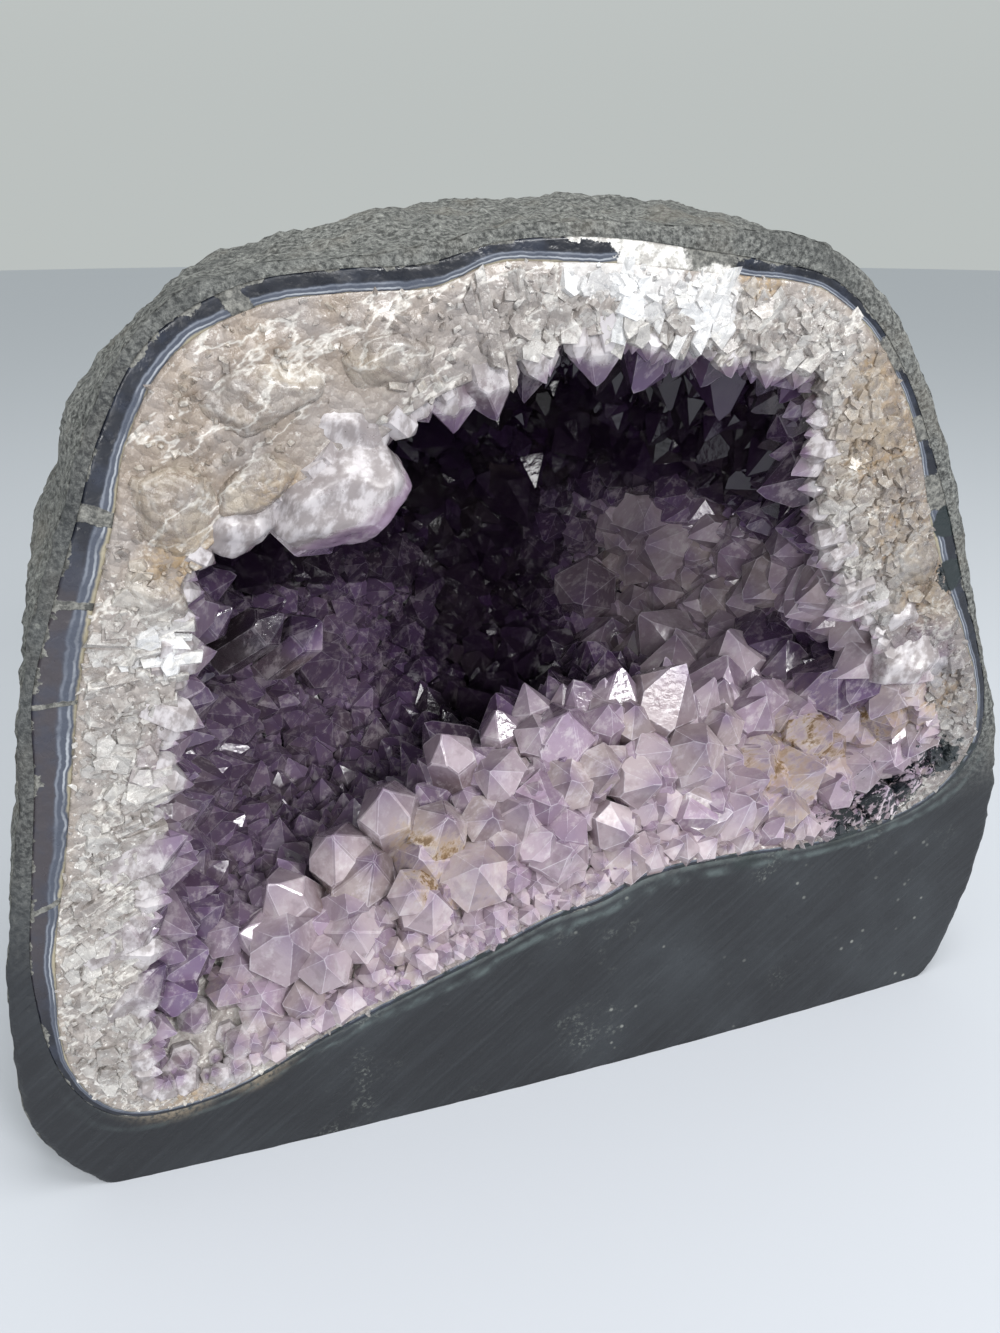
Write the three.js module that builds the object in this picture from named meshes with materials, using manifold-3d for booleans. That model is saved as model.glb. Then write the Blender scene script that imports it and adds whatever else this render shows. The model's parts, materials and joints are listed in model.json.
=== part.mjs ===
// Amethyst cathedral geode: a hollow basalt lump cut open at the front and cut flat underneath,
// lined with a thin agate band and a thick crust of quartz and amethyst crystals.
// Millimetres, +Z up. The cut face looks toward -Y and the geode rests on the plane z = 0.

import * as THREE from 'three';
import { ConvexGeometry } from 'three/addons/geometries/ConvexGeometry.js';
import { ConvexHull } from 'three/addons/math/ConvexHull.js';
import { mergeVertices } from 'three/addons/utils/BufferGeometryUtils.js';
import Module from 'manifold-3d';

const wasm = await Module();
wasm.setup();

// Driving dimensions
const BODY_DEPTH = 138;
const ROCK_BACK_WALL = 12;
const AGATE_BACK_WIDTH = 4;
const CAVITY_DEPTH = 106;
const LAYER_GAP = 0.4;
const HEART = { x: -5, z: 118 };
const DOME_ROUNDNESS = 3;
const BACK_DROP = 32;
const BACK_DROP_CURVE = 2.5;
const QUARTZ_PROUD = 2.5;
const CUT_ALLOWANCE = 12;
const HOLLOW_DEPTH = BODY_DEPTH - ROCK_BACK_WALL;
const AGATE_DEPTH = HOLLOW_DEPTH - LAYER_GAP - AGATE_BACK_WIDTH;
const QUARTZ_DEPTH = AGATE_DEPTH - LAYER_GAP;

// The base swells forward a little, low in the middle of the cut face.
const FACE_BULGE = 3;
const FACE_BULGE_HALF_WIDTH = 118;
const FACE_BULGE_TOP = 75;
const FACE_BULGE_DEPTH = 20;

// Low waves on the rock, calmer close to the cut face
const LUMP_HEIGHT = 3;
const LUMP_HEIGHT_AT_FACE = 0.5;
const LUMPS_START_DEPTH = 30;
const WIDE_LUMP = 16;
const FINE_LUMP = 9;
const FINE_LUMP_SHARE = 0.35;

// Mesh resolution
const WELD = 1e-4;
const SMALLEST_STEP = 0.25;
const SEGMENTS = 40;
const ROCK_RINGS = [0, 10, 24, 42, 60, 78, 94, 108, 120, 129, 135];
const HOLLOW_SHARES = [0, 0.12, 0.28, 0.46, 0.64, 0.8, 0.92, 0.98];

// Outlines seen from the front, as [degrees from +X, millimetres from the heart of the hollow].
// The edge of the rock at the cut face, and 45 mm behind it, where the dome has swollen.
const ROCK_EDGE = [
  [0, 102.5], [15, 95.5], [30, 92.5], [45, 91.5], [55, 88], [65, 82], [75, 77.5], [90, 75.5], [105, 75.5],
  [115, 78], [125, 85], [135, 92], [145, 93.5], [160, 92.5], [175, 97], [190, 104.5], [200, 114.5],
  [210, 130.5], [220, 149.5], [226, 156], [233, 156], [250, 142], [270, 132], [290, 140], [305, 157],
  [314, 163.5], [320, 157.5], [330, 143.5], [340, 128.5], [350, 112.5],
];
const ROCK_SHOULDER = [
  [0, 103], [15, 97], [30, 94], [45, 93.5], [55, 91], [65, 88], [75, 84.5], [90, 81], [105, 80.5],
  [115, 82], [125, 86.5], [135, 91.5], [145, 94], [160, 94], [175, 98], [190, 106.5], [200, 117],
  [210, 132], [220, 149], [226, 154], [233, 154], [250, 143], [270, 134], [290, 142], [305, 156],
  [314, 161], [320, 156], [330, 144], [340, 129], [350, 113.5],
];
// The hollow in the rock, which is also the outer edge of the agate.
const HOLLOW_EDGE = [
  [0, 99.5], [10, 93.5], [20, 90], [30, 88.5], [40, 87.5], [50, 85.3], [60, 79.5], [70, 75.4], [80, 73.7],
  [90, 73.2], [100, 73.4], [110, 73.6], [120, 79.2], [130, 86.5], [140, 91], [150, 90.8], [160, 90.2],
  [170, 92.4], [180, 97], [190, 101.3], [200, 110.5], [210, 124.5], [220, 137.5], [226, 138.5],
  [232, 127], [240, 103.4], [250, 87], [260, 77.4], [270, 71], [280, 70], [290, 69], [300, 73.5],
  [310, 84], [320, 101], [330, 118], [338, 123], [345, 117], [352, 108],
];
const AGATE_WIDTH = [
  [0, 4], [10, 4.5], [20, 2.6], [35, 1.6], [50, 2.2], [65, 3.2], [80, 3.6], [90, 3.7], [100, 2.8],
  [110, 3.6], [130, 3.8], [150, 3.8], [160, 5.2], [170, 6], [180, 7.2], [190, 6.2], [200, 6.2],
  [210, 4.8], [220, 1.8], [240, 1.5], [330, 1.5], [345, 2.5],
];
// How far the rock floor rises a little way behind the cut face.
const FLOOR_RISE = [[0, 0], [200, 0], [230, 2], [255, 4], [290, 6], [315, 6], [335, 3], [350, 0]];
// The crystal bed: its mouth in the cut face, its lip behind the mouth and its belly deep inside.
const BED_MOUTH = [
  [0, 72], [15, 64], [30, 67], [40, 73], [50, 68], [60, 62], [75, 59], [90, 56], [105, 53], [120, 53],
  [130, 53], [140, 56], [150, 62], [165, 72], [180, 73], [190, 79], [200, 87], [206, 95], [213, 106],
  [220, 119], [226, 132], [232, 122], [240, 100], [250, 84.5], [260, 75], [270, 69], [280, 68],
  [290, 67], [300, 71.5], [310, 82], [320, 98], [330, 113], [337, 112], [344, 97], [352, 82],
];
const BED_LIP = [
  [0, 80], [15, 76], [30, 74], [45, 70], [60, 62], [75, 60], [90, 58], [105, 57], [120, 61], [130, 66],
  [140, 72], [150, 75], [165, 78], [180, 80], [190, 84], [200, 88], [210, 96], [220, 101], [230, 90],
  [240, 69], [250, 54], [260, 45], [270, 38], [280, 35], [290, 36], [300, 38], [310, 44], [320, 58],
  [330, 74], [338, 86], [345, 88], [352, 84],
];
const BED_BELLY = [
  [0, 76], [20, 73], [45, 66], [60, 60], [75, 56], [90, 54], [110, 55], [125, 60], [140, 68], [160, 73],
  [180, 75], [200, 80], [220, 88], [230, 84], [240, 76], [250, 66], [260, 58], [270, 52], [285, 50],
  [300, 52], [310, 56], [320, 62], [330, 69], [345, 75],
];
const SHOULDER_DEPTH = 45;
const LIP_DEPTH = 24;
const BELLY_DEPTH = 58;

// Named crystals: [x of tip, depth of tip, z of tip], the way the tip points, width and length.
const FLOOR_CRYSTALS = [
  { tip: [4, 14, 92], points: [-0.1, -0.5, 0.86], width: 19, length: 30 },
  { tip: [-8, 6, 75], points: [-0.1, -0.65, 0.75], width: 19, length: 26 },
  { tip: [-1, 15, 79], points: [0.35, -0.45, 0.82], width: 12, length: 22 },
  { tip: [13, 13, 77], points: [0.1, -0.6, 0.79], width: 14, length: 22 },
  { tip: [21, 23, 97], points: [0.1, -0.2, 0.97], width: 17, length: 28 },
  { tip: [10, 26, 94], points: [-0.3, -0.1, 0.95], width: 14, length: 26 },
  { tip: [-51, 13, 71], points: [-0.25, -0.45, 0.86], width: 15, length: 24 },
  { tip: [-66, 11, 63], points: [-0.5, -0.4, 0.77], width: 14, length: 22 },
  { tip: [-43, 8, 66], points: [0.15, -0.65, 0.74], width: 17, length: 24 },
  { tip: [-50, 2, 54], points: [-0.2, -0.75, 0.63], width: 14, length: 18 },
  { tip: [-73, 8, 54], points: [-0.6, -0.5, 0.62], width: 11, length: 18 },
  { tip: [49, 23, 90], points: [0, -0.3, 0.95], width: 16, length: 26 },
  { tip: [67, 19, 89], points: [0.05, -0.35, 0.93], width: 16, length: 26 },
  { tip: [81, 13, 87], points: [-0.2, -0.4, 0.89], width: 15, length: 24 },
  { tip: [-39, 14, 80], points: [-0.2, -0.4, 0.89], width: 15, length: 26 },
  { tip: [-24, 20, 88], points: [-0.25, -0.3, 0.92], width: 13, length: 24 },
  { tip: [-26, 8, 74], points: [0.1, -0.6, 0.79], width: 15, length: 24 },
  { tip: [27, 6, 69], points: [0, -0.7, 0.71], width: 16, length: 22 },
  { tip: [36, 12, 79], points: [-0.2, -0.5, 0.84], width: 14, length: 24 },
  { tip: [54, 9, 78], points: [0.1, -0.6, 0.79], width: 14, length: 22 },
  { tip: [1, 1, 59], points: [0, -0.75, 0.66], width: 13, length: 16 },
  { tip: [-20, 2, 64], points: [-0.1, -0.75, 0.66], width: 14, length: 18 },
  { tip: [-36, 2, 61], points: [-0.15, -0.75, 0.64], width: 13, length: 16 },
  { tip: [68, 5, 74], points: [0, -0.7, 0.71], width: 13, length: 18 },
  { tip: [46, 3, 68], points: [0.1, -0.75, 0.65], width: 12, length: 16 },
  { tip: [83, 4, 75], points: [-0.2, -0.7, 0.68], width: 12, length: 18 },
  { tip: [92, 8, 86], points: [-0.5, -0.4, 0.76], width: 13, length: 22 },
  { tip: [34, 24, 94], points: [0.1, -0.1, 0.99], width: 14, length: 26 },
  { tip: [-9, 26, 89], points: [-0.2, -0.1, 0.97], width: 12, length: 26 },
];
const RIM_CRYSTALS = [
  { tip: [-16, 8, 159], points: [0.25, -0.1, -0.96], width: 12, length: 22 },
  { tip: [4, 8, 165], points: [0.05, -0.1, -0.99], width: 10, length: 18 },
  { tip: [-24, 8, 157], points: [0.1, 0, -0.99], width: 10, length: 20 },
  { tip: [-32, 8, 158], points: [0.3, 0, -0.95], width: 10, length: 18 },
  { tip: [-34, 4, 151], points: [0.93, -0.1, -0.35], width: 23, length: 40 },
  { tip: [-47, 9, 138], points: [0.6, 0.1, -0.79], width: 17, length: 30 },
  { tip: [-63, 3, 143], points: [0.75, 0, -0.66], width: 12, length: 22 },
  { tip: [-71, 2, 131], points: [0.95, -0.05, -0.3], width: 12, length: 20 },
  { tip: [-73, 2, 114], points: [0.98, -0.1, -0.1], width: 14, length: 22 },
  { tip: [-78, 2, 96], points: [0.98, -0.1, -0.05], width: 16, length: 20 },
  { tip: [-80, 2, 84], points: [0.95, -0.1, 0.25], width: 11, length: 20 },
  { tip: [-86, 2, 68], points: [0.9, -0.1, 0.4], width: 13, length: 20 },
  { tip: [14, 8, 170], points: [0.1, 0, -0.99], width: 11, length: 18 },
  { tip: [27, 8, 169], points: [-0.1, -0.1, -0.98], width: 12, length: 18 },
  { tip: [38, 8, 167], points: [-0.1, 0, -0.98], width: 11, length: 18 },
  { tip: [50, 6, 166], points: [-0.5, -0.1, -0.86], width: 12, length: 20 },
  { tip: [56, 6, 154], points: [-0.8, -0.2, -0.5], width: 10, length: 18 },
  { tip: [58, 6, 143], points: [-0.93, -0.2, -0.2], width: 11, length: 18 },
  { tip: [62, 7, 129], points: [-0.95, -0.2, 0], width: 14, length: 20 },
  { tip: [72, 6, 112], points: [-0.93, -0.2, 0.2], width: 12, length: 18 },
  { tip: [77, 3, 99], points: [-0.93, -0.3, 0.2], width: 19, length: 26 },
  { tip: [-8, 6, 168], points: [0.1, -0.1, -0.99], width: 10, length: 18 },
  { tip: [-88, 3, 54], points: [0.8, -0.1, 0.6], width: 12, length: 20 },
];

// Packed pyramids that grow all over the bed, between the named crystals
const BED_SEED = 7;
const PYRAMID_COUNT = 270;
const MOUTH_POINTS = 44;
const PYRAMID_RISE = [0.4, 0.85];
const PYRAMID_SWAY = 0.3;
const WIDEST_PYRAMID = 12;
const GOLDEN_ANGLE = Math.PI * (3 - Math.sqrt(5));
const BEARING_SWAY = 0.12;
const SINE_SWAY = 0.03;
const FIRST_SINE = 0.03;
const LAST_SINE = 0.99;
const MOUTH_SINE = -0.12;
const PLUG_SINE = -0.6;
const FACE_SHARES = [0.3, 0.65];

// Quartz habit
const PYRAMID_ANGLE = THREE.MathUtils.degToRad(51.8);
const SIDE_VARIATION = 0.14;
const SMALL_FACE_DROP = 0.3;
const LARGE_FACE_DROP = 0.06;

const toRadians = THREE.MathUtils.degToRad;
const lerp = THREE.MathUtils.lerp;
const smooth = (t) => THREE.MathUtils.smoothstep(t, 0, 1);

// A radius at any angle of a closed outline, by a cubic through its points.
function along(outline, degree) {
  const angle = ((degree % 360) + 360) % 360;
  const count = outline.length;
  let after = outline.findIndex((point) => point[0] > angle);
  if (after < 0) after = count;
  const knot = (index) => {
    const turns = Math.floor(index / count);
    const [at, radius] = outline[index - turns * count];
    return [at + 360 * turns, radius];
  };
  const [a, b, c, d] = [after - 2, after - 1, after, after + 1].map(knot);
  const span = c[0] - b[0];
  const t = (angle - b[0]) / span;
  const startSlope = ((c[1] - a[1]) / (c[0] - a[0])) * span;
  const endSlope = ((d[1] - b[1]) / (d[0] - b[0])) * span;
  const t2 = t * t;
  const t3 = t2 * t;
  return (2 * t3 - 3 * t2 + 1) * b[1] + (t3 - 2 * t2 + t) * startSlope
    + (3 * t2 - 2 * t3) * c[1] + (t3 - t2) * endSlope;
}

// The dome closes toward its back as a rounded lump.
const closing = (depth, reach) => Math.sqrt(Math.max(0, 1 - (depth / reach) ** DOME_ROUNDNESS));

// Rings move down toward the back, so the dome leans forward over the base.
const ringHeight = (depth) => HEART.z - BACK_DROP * (Math.max(0, depth) / BODY_DEPTH) ** BACK_DROP_CURVE;

// Low waves that make the rock lumpy, from -1 to 1.
function lumps(x, y, z) {
  const wide = Math.sin(x / WIDE_LUMP + 1) * Math.sin(y / WIDE_LUMP + 1.3) * Math.cos(z / WIDE_LUMP);
  const fine = Math.sin((x + z) / FINE_LUMP) * Math.sin((y - z) / FINE_LUMP);
  return (1 - FINE_LUMP_SHARE) * wide + FINE_LUMP_SHARE * fine;
}

// From the cut face's own sizes (across, depth behind the face, height) to a point of the model.
function place(x, depth, z) {
  const across = Math.max(0, 1 - (x / FACE_BULGE_HALF_WIDTH) ** 2);
  const low = Math.max(0, 1 - z / FACE_BULGE_TOP);
  const shallow = Math.max(0, 1 - depth / FACE_BULGE_DEPTH);
  return new THREE.Vector3(x, depth - BODY_DEPTH / 2 - FACE_BULGE * across * low * shallow, z);
}

function onRing(degree, radius, depth) {
  const angle = toRadians(degree);
  return place(HEART.x + radius * Math.cos(angle), depth, ringHeight(depth) + radius * Math.sin(angle));
}

function rockPoint(degree, depth) {
  const edge = along(ROCK_EDGE, degree);
  const shoulder = along(ROCK_SHOULDER, degree) / closing(SHOULDER_DEPTH, BODY_DEPTH);
  const swollen = lerp(edge, shoulder, smooth(depth / SHOULDER_DEPTH));
  const radius = swollen * closing(depth, BODY_DEPTH);
  const point = onRing(degree, radius, depth);
  const height = lerp(LUMP_HEIGHT_AT_FACE, LUMP_HEIGHT, smooth(depth / LUMPS_START_DEPTH));
  const angle = toRadians(degree);
  const outward = new THREE.Vector3(Math.cos(angle), depth / BODY_DEPTH, Math.sin(angle));
  return point.addScaledVector(outward, height * lumps(point.x, point.y, point.z));
}

// A lining of the hollow: its points lie inset millimetres inside the rock's hollow.
function liningPoint(degree, share, edgeInset, deepInset) {
  const reach = HOLLOW_DEPTH - deepInset;
  const depth = reach * share;
  const rise = along(FLOOR_RISE, degree) * smooth(depth / LIP_DEPTH);
  const inset = lerp(edgeInset, deepInset, smooth(depth / LIP_DEPTH));
  const open = along(HOLLOW_EDGE, degree) - rise;
  return onRing(degree, (open - inset) * closing(depth, reach), depth);
}

const hollowPoint = (degree, share) => liningPoint(degree, share, 0, 0);
const agateOuterPoint = (degree, share) => liningPoint(degree, share, LAYER_GAP, LAYER_GAP);
const agateInnerPoint = (degree, share) => {
  const width = along(AGATE_WIDTH, degree);
  return liningPoint(degree, share, LAYER_GAP + width, LAYER_GAP + AGATE_BACK_WIDTH);
};
const quartzOuterPoint = (degree, share) => {
  const width = along(AGATE_WIDTH, degree);
  return liningPoint(degree, share, 2 * LAYER_GAP + width, 2 * LAYER_GAP + AGATE_BACK_WIDTH);
};

// The surface that the crystals grow from, from its mouth (share 0) to the back (share 1).
function bedPoint(degree, share) {
  const depth = CAVITY_DEPTH * share;
  const mouth = along(BED_MOUTH, degree);
  const lip = along(BED_LIP, degree);
  const belly = along(BED_BELLY, degree);
  let radius = lerp(mouth, lip, smooth(depth / LIP_DEPTH));
  if (depth > LIP_DEPTH) {
    radius = lerp(lip, belly, smooth((depth - LIP_DEPTH) / (BELLY_DEPTH - LIP_DEPTH)));
  }
  if (depth > BELLY_DEPTH) {
    radius = belly * Math.sqrt(Math.max(0, 1 - ((depth - BELLY_DEPTH) / (CAVITY_DEPTH - BELLY_DEPTH)) ** 2));
  }
  return onRing(degree, radius, depth);
}

const ringOf = (pointAt, ...rest) =>
  Array.from({ length: SEGMENTS }, (_, index) => pointAt((360 * index) / SEGMENTS, ...rest));

// A closed skin through rings of points, drawn to one point at each end.
function skin(firstPole, rings, lastPole) {
  const positions = [firstPole, ...rings.flat(), lastPole].flatMap((point) => point.toArray());
  const indices = [];
  const around = rings[0].length;
  const at = (ring, index) => 1 + ring * around + (index % around);
  const last = positions.length / 3 - 1;
  for (let index = 0; index < around; index += 1) {
    indices.push(0, at(0, index), at(0, index + 1));
    indices.push(last, at(rings.length - 1, index + 1), at(rings.length - 1, index));
  }
  for (let ring = 0; ring + 1 < rings.length; ring += 1) {
    for (let index = 0; index < around; index += 1) {
      const [a, b] = [at(ring, index), at(ring, index + 1)];
      const [c, d] = [at(ring + 1, index), at(ring + 1, index + 1)];
      indices.push(a, c, d, a, d, b);
    }
  }
  const geometry = new THREE.BufferGeometry();
  geometry.setAttribute('position', new THREE.Float32BufferAttribute(positions, 3));
  geometry.setIndex(indices);
  return geometry;
}

function solidOf(source) {
  const bare = source.clone();
  bare.deleteAttribute('normal');
  bare.deleteAttribute('uv');
  const merged = mergeVertices(bare, WELD);
  const mesh = new wasm.Mesh({
    numProp: 3,
    vertProperties: new Float32Array(merged.attributes.position.array),
    triVerts: new Uint32Array(merged.index.array),
  });
  const solid = new wasm.Manifold(mesh);
  if (solid.volume() > 0) return solid;
  merged.setIndex([...merged.index.array].reverse());
  return solidOf(merged);
}

function geometryOf(solid) {
  const mesh = solid.getMesh();
  const geometry = new THREE.BufferGeometry();
  const positions = [];
  for (let i = 0; i < mesh.numVert; i += 1) {
    for (let axis = 0; axis < 3; axis += 1) positions.push(mesh.vertProperties[i * mesh.numProp + axis]);
  }
  geometry.setAttribute('position', new THREE.Float32BufferAttribute(positions, 3));
  geometry.setIndex([...mesh.triVerts]);
  geometry.computeVertexNormals();
  return geometry;
}

// The largest closed skin alone, without the pockets sealed in between crystals.
function outerBody(solid) {
  const bodies = solid.decompose();
  return bodies.reduce((best, body) => (body.volume() > best.volume() ? body : best));
}

// Everything under the resting plane is cut away.
function cutFlat(solid) {
  const size = 400;
  const below = new THREE.BoxGeometry(size, size, size).translate(0, 0, -size / 2);
  return solid.subtract(solidOf(below));
}

// Everything inside a layer of the hollow, drawn out past the cut face by some millimetres.
function inside(pointAt, shares, back, drawnOut) {
  const rings = shares.map((share) => ringOf(pointAt, share));
  const front = rings[0].map((point) => point.clone().add(new THREE.Vector3(0, -drawnOut, 0)));
  const frontCentre = onRing(0, 0, 0).add(new THREE.Vector3(0, -drawnOut, 0));
  return solidOf(skin(frontCentre, drawnOut > 0 ? [front, ...rings] : rings, onRing(0, 0, back)));
}

function makeRock() {
  const rings = ROCK_RINGS.map((depth) => ringOf(rockPoint, depth));
  const outer = solidOf(skin(onRing(0, 0, 0), rings, onRing(0, 0, BODY_DEPTH)));
  const hollow = inside(hollowPoint, HOLLOW_SHARES, HOLLOW_DEPTH, CUT_ALLOWANCE);
  return cutFlat(outer.subtract(hollow));
}

function makeAgate() {
  const outer = inside(agateOuterPoint, HOLLOW_SHARES, HOLLOW_DEPTH - LAYER_GAP, 0);
  const inner = inside(agateInnerPoint, HOLLOW_SHARES, AGATE_DEPTH, CUT_ALLOWANCE);
  return outer.subtract(inner);
}

// The same random numbers on every run.
function randomFrom(seed) {
  let state = seed;
  return () => {
    state = (state + 0x6d2b79f5) | 0;
    let mixed = Math.imul(state ^ (state >>> 15), 1 | state);
    mixed = (mixed + Math.imul(mixed ^ (mixed >>> 7), 61 | mixed)) ^ mixed;
    return ((mixed ^ (mixed >>> 14)) >>> 0) / 2 ** 32;
  };
}

// The corner points of a six-sided quartz crystal with a pyramid, standing on +Z with its tip at 0.
function crystalCorners(width, length, random) {
  const planes = [];
  for (let face = 0; face < 6; face += 1) {
    const bearing = (face * Math.PI) / 3;
    const side = (width / 2) * (1 + SIDE_VARIATION * (2 * random() - 1));
    planes.push({ normal: new THREE.Vector3(Math.cos(bearing), Math.sin(bearing), 0), offset: side });
    const slant = new THREE.Vector3(
      Math.cos(bearing) * Math.sin(PYRAMID_ANGLE),
      Math.sin(bearing) * Math.sin(PYRAMID_ANGLE),
      Math.cos(PYRAMID_ANGLE),
    );
    const drop = random() * (face % 2 ? SMALL_FACE_DROP : LARGE_FACE_DROP);
    planes.push({ normal: slant, offset: (drop * width) / 4 });
  }
  planes.push({ normal: new THREE.Vector3(0, 0, -1), offset: length });
  const corners = [];
  for (let i = 0; i < planes.length; i += 1) {
    for (let j = i + 1; j < planes.length; j += 1) {
      for (let k = j + 1; k < planes.length; k += 1) {
        const corner = meetingPoint(planes[i], planes[j], planes[k]);
        const outside = (plane) => plane.normal.dot(corner) > plane.offset + WELD;
        if (corner && !planes.some(outside)) corners.push(corner);
      }
    }
  }
  return corners;
}

function meetingPoint(a, b, c) {
  const bc = new THREE.Vector3().crossVectors(b.normal, c.normal);
  const volume = a.normal.dot(bc);
  if (Math.abs(volume) < WELD) return null;
  const ca = new THREE.Vector3().crossVectors(c.normal, a.normal);
  const ab = new THREE.Vector3().crossVectors(a.normal, b.normal);
  return bc.multiplyScalar(a.offset).addScaledVector(ca, b.offset).addScaledVector(ab, c.offset)
    .divideScalar(volume);
}

function makeCrystal(tip, points, width, length, random) {
  const up = new THREE.Vector3(0, 0, 1);
  const turn = new THREE.Quaternion().setFromUnitVectors(up, points.clone().normalize());
  turn.multiply(new THREE.Quaternion().setFromAxisAngle(up, random() * Math.PI));
  const corners = crystalCorners(width, length, random);
  return solidOf(new ConvexGeometry(corners.map((corner) => corner.applyQuaternion(turn).add(tip))));
}

function namedCrystals() {
  const random = randomFrom(BED_SEED);
  return [...FLOOR_CRYSTALS, ...RIM_CRYSTALS].map(({ tip, points, width, length }) =>
    makeCrystal(place(...tip), new THREE.Vector3(...points), width, length, random));
}

// Directions spread evenly over the back half of a ball, with two plain rings in front of them.
function bedDirections(random) {
  const directions = [];
  for (let index = 0; index < PYRAMID_COUNT; index += 1) {
    const bearing = index * GOLDEN_ANGLE + BEARING_SWAY * (random() - 0.5);
    const sine = lerp(FIRST_SINE, LAST_SINE, (index + 0.5) / PYRAMID_COUNT);
    directions.push(fromBearing(bearing, Math.min(1, sine + SINE_SWAY * (random() - 0.5))));
  }
  for (const sine of [MOUTH_SINE, PLUG_SINE]) {
    for (let index = 0; index < MOUTH_POINTS; index += 1) {
      directions.push(fromBearing((2 * Math.PI * index) / MOUTH_POINTS, sine));
    }
  }
  directions.push(new THREE.Vector3(0, -1, 0));
  return directions;
}

function fromBearing(bearing, sine) {
  const cosine = Math.sqrt(1 - sine * sine);
  return new THREE.Vector3(cosine * Math.cos(bearing), sine, cosine * Math.sin(bearing));
}

// A direction's place on the bed, or on a plug that stands in front of the mouth.
function bedPlace(direction) {
  const degree = THREE.MathUtils.radToDeg(Math.atan2(direction.z, direction.x));
  if (direction.y >= MOUTH_SINE) return bedPoint(degree, Math.max(0, direction.y));
  const plug = direction.y >= PLUG_SINE ? bedPoint(degree, 0) : onRing(degree, 0, 0);
  return plug.add(new THREE.Vector3(0, -CUT_ALLOWANCE, 0));
}

// The hollow of the crust: the ball's points are the tips of pyramids, and the middle of each
// triangle between them is a foot corner, so the pyramids stand side by side without a gap.
function cavitySolid() {
  const random = randomFrom(BED_SEED + 1);
  const directions = bedDirections(random);
  const hull = new ConvexHull().setFromPoints(directions);
  const indexOf = new Map(directions.map((direction, index) => [direction, index]));
  const triangles = hull.faces.map((face) => {
    const corners = [face.edge.prev, face.edge, face.edge.next];
    return corners.map((edge) => indexOf.get(edge.head().point));
  });
  const feet = directions.map(bedPlace);
  const normals = directions.map(() => new THREE.Vector3());
  const reach = directions.map(() => []);
  for (const corners of triangles) {
    const [a, b, c] = corners.map((index) => feet[index]);
    const normal = new THREE.Vector3().crossVectors(b.clone().sub(a), c.clone().sub(a));
    corners.forEach((index, at) => {
      normals[index].sub(normal);
      reach[index].push(feet[corners[(at + 1) % 3]].distanceTo(feet[index]));
    });
  }
  const tips = feet.map((foot, index) => {
    if (index >= PYRAMID_COUNT) return foot;
    const mean = reach[index].reduce((sum, value) => sum + value, 0) / reach[index].length;
    const cell = Math.min(mean, WIDEST_PYRAMID);
    const sway = new THREE.Vector3(random() - 0.5, random() - 0.5, random() - 0.5);
    const rise = lerp(PYRAMID_RISE[0], PYRAMID_RISE[1], random());
    return foot.clone().addScaledVector(normals[index].normalize(), rise * cell)
      .addScaledVector(sway, PYRAMID_SWAY * cell);
  });
  const centres = triangles.map(([a, b, c]) => feet[a].clone().add(feet[b]).add(feet[c]).divideScalar(3));
  const besideEdge = new Map();
  triangles.forEach((corners, at) => {
    corners.forEach((from, side) => besideEdge.set(`${from} ${corners[(side + 1) % 3]}`, at));
  });
  const positions = [...tips, ...centres].flatMap((point) => point.toArray());
  const indices = [];
  triangles.forEach((corners, at) => {
    corners.forEach((from, side) => {
      const to = corners[(side + 1) % 3];
      const other = besideEdge.get(`${to} ${from}`);
      indices.push(from, tips.length + other, tips.length + at);
    });
  });
  const geometry = new THREE.BufferGeometry();
  geometry.setAttribute('position', new THREE.Float32BufferAttribute(positions, 3));
  geometry.setIndex(indices);
  return solidOf(geometry);
}

// The quartz under the crystals, with a rough broken face between the agate and the mouth.
function makeBedRock() {
  const lining = HOLLOW_SHARES.map((share) => ringOf(quartzOuterPoint, share));
  const mouth = ringOf(bedPoint, 0);
  const random = randomFrom(BED_SEED + 2);
  const face = FACE_SHARES.map((share) => mouth.map((point, index) => {
    const rough = new THREE.Vector3(0, -QUARTZ_PROUD * random(), 0);
    return point.clone().lerp(lining[0][index], share).add(rough);
  }));
  const filled = solidOf(skin(onRing(0, 0, 0), [...face, ...lining], onRing(0, 0, QUARTZ_DEPTH)));
  return filled.subtract(cavitySolid());
}

// The crust never leaves the room inside the agate, and stands only a little proud of the cut face.
function makeCrust() {
  const all = wasm.Manifold.union([makeBedRock(), ...namedCrystals()]);
  const room = inside(quartzOuterPoint, HOLLOW_SHARES, QUARTZ_DEPTH, QUARTZ_PROUD);
  return outerBody(all.intersect(room).simplify(SMALLEST_STEP));
}

function part(name, solid, color, roughness) {
  const material = new THREE.MeshStandardMaterial({ color, roughness, metalness: 0, flatShading: true });
  const mesh = new THREE.Mesh(geometryOf(solid), material);
  mesh.name = name;
  return mesh;
}

const geode = new THREE.Group();
geode.add(
  part('basalt_shell', makeRock(), 0x4a4f52, 0.85),
  part('agate_band', makeAgate(), 0x6d7794, 0.3),
  part('amethyst_crust', makeCrust(), 0xa08ab8, 0.2),
);

// The origin is under the middle of the whole body.
const box = new THREE.Box3().setFromObject(geode);
geode.position.set(-(box.min.x + box.max.x) / 2, -(box.min.y + box.max.y) / 2, 0);

export default geode;
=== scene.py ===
"""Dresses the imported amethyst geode: granular basalt, banded agate, milky quartz and amethyst crystals."""

import json
import math

import bmesh
import bpy
import numpy as np
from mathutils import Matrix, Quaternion, Vector, noise

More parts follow.
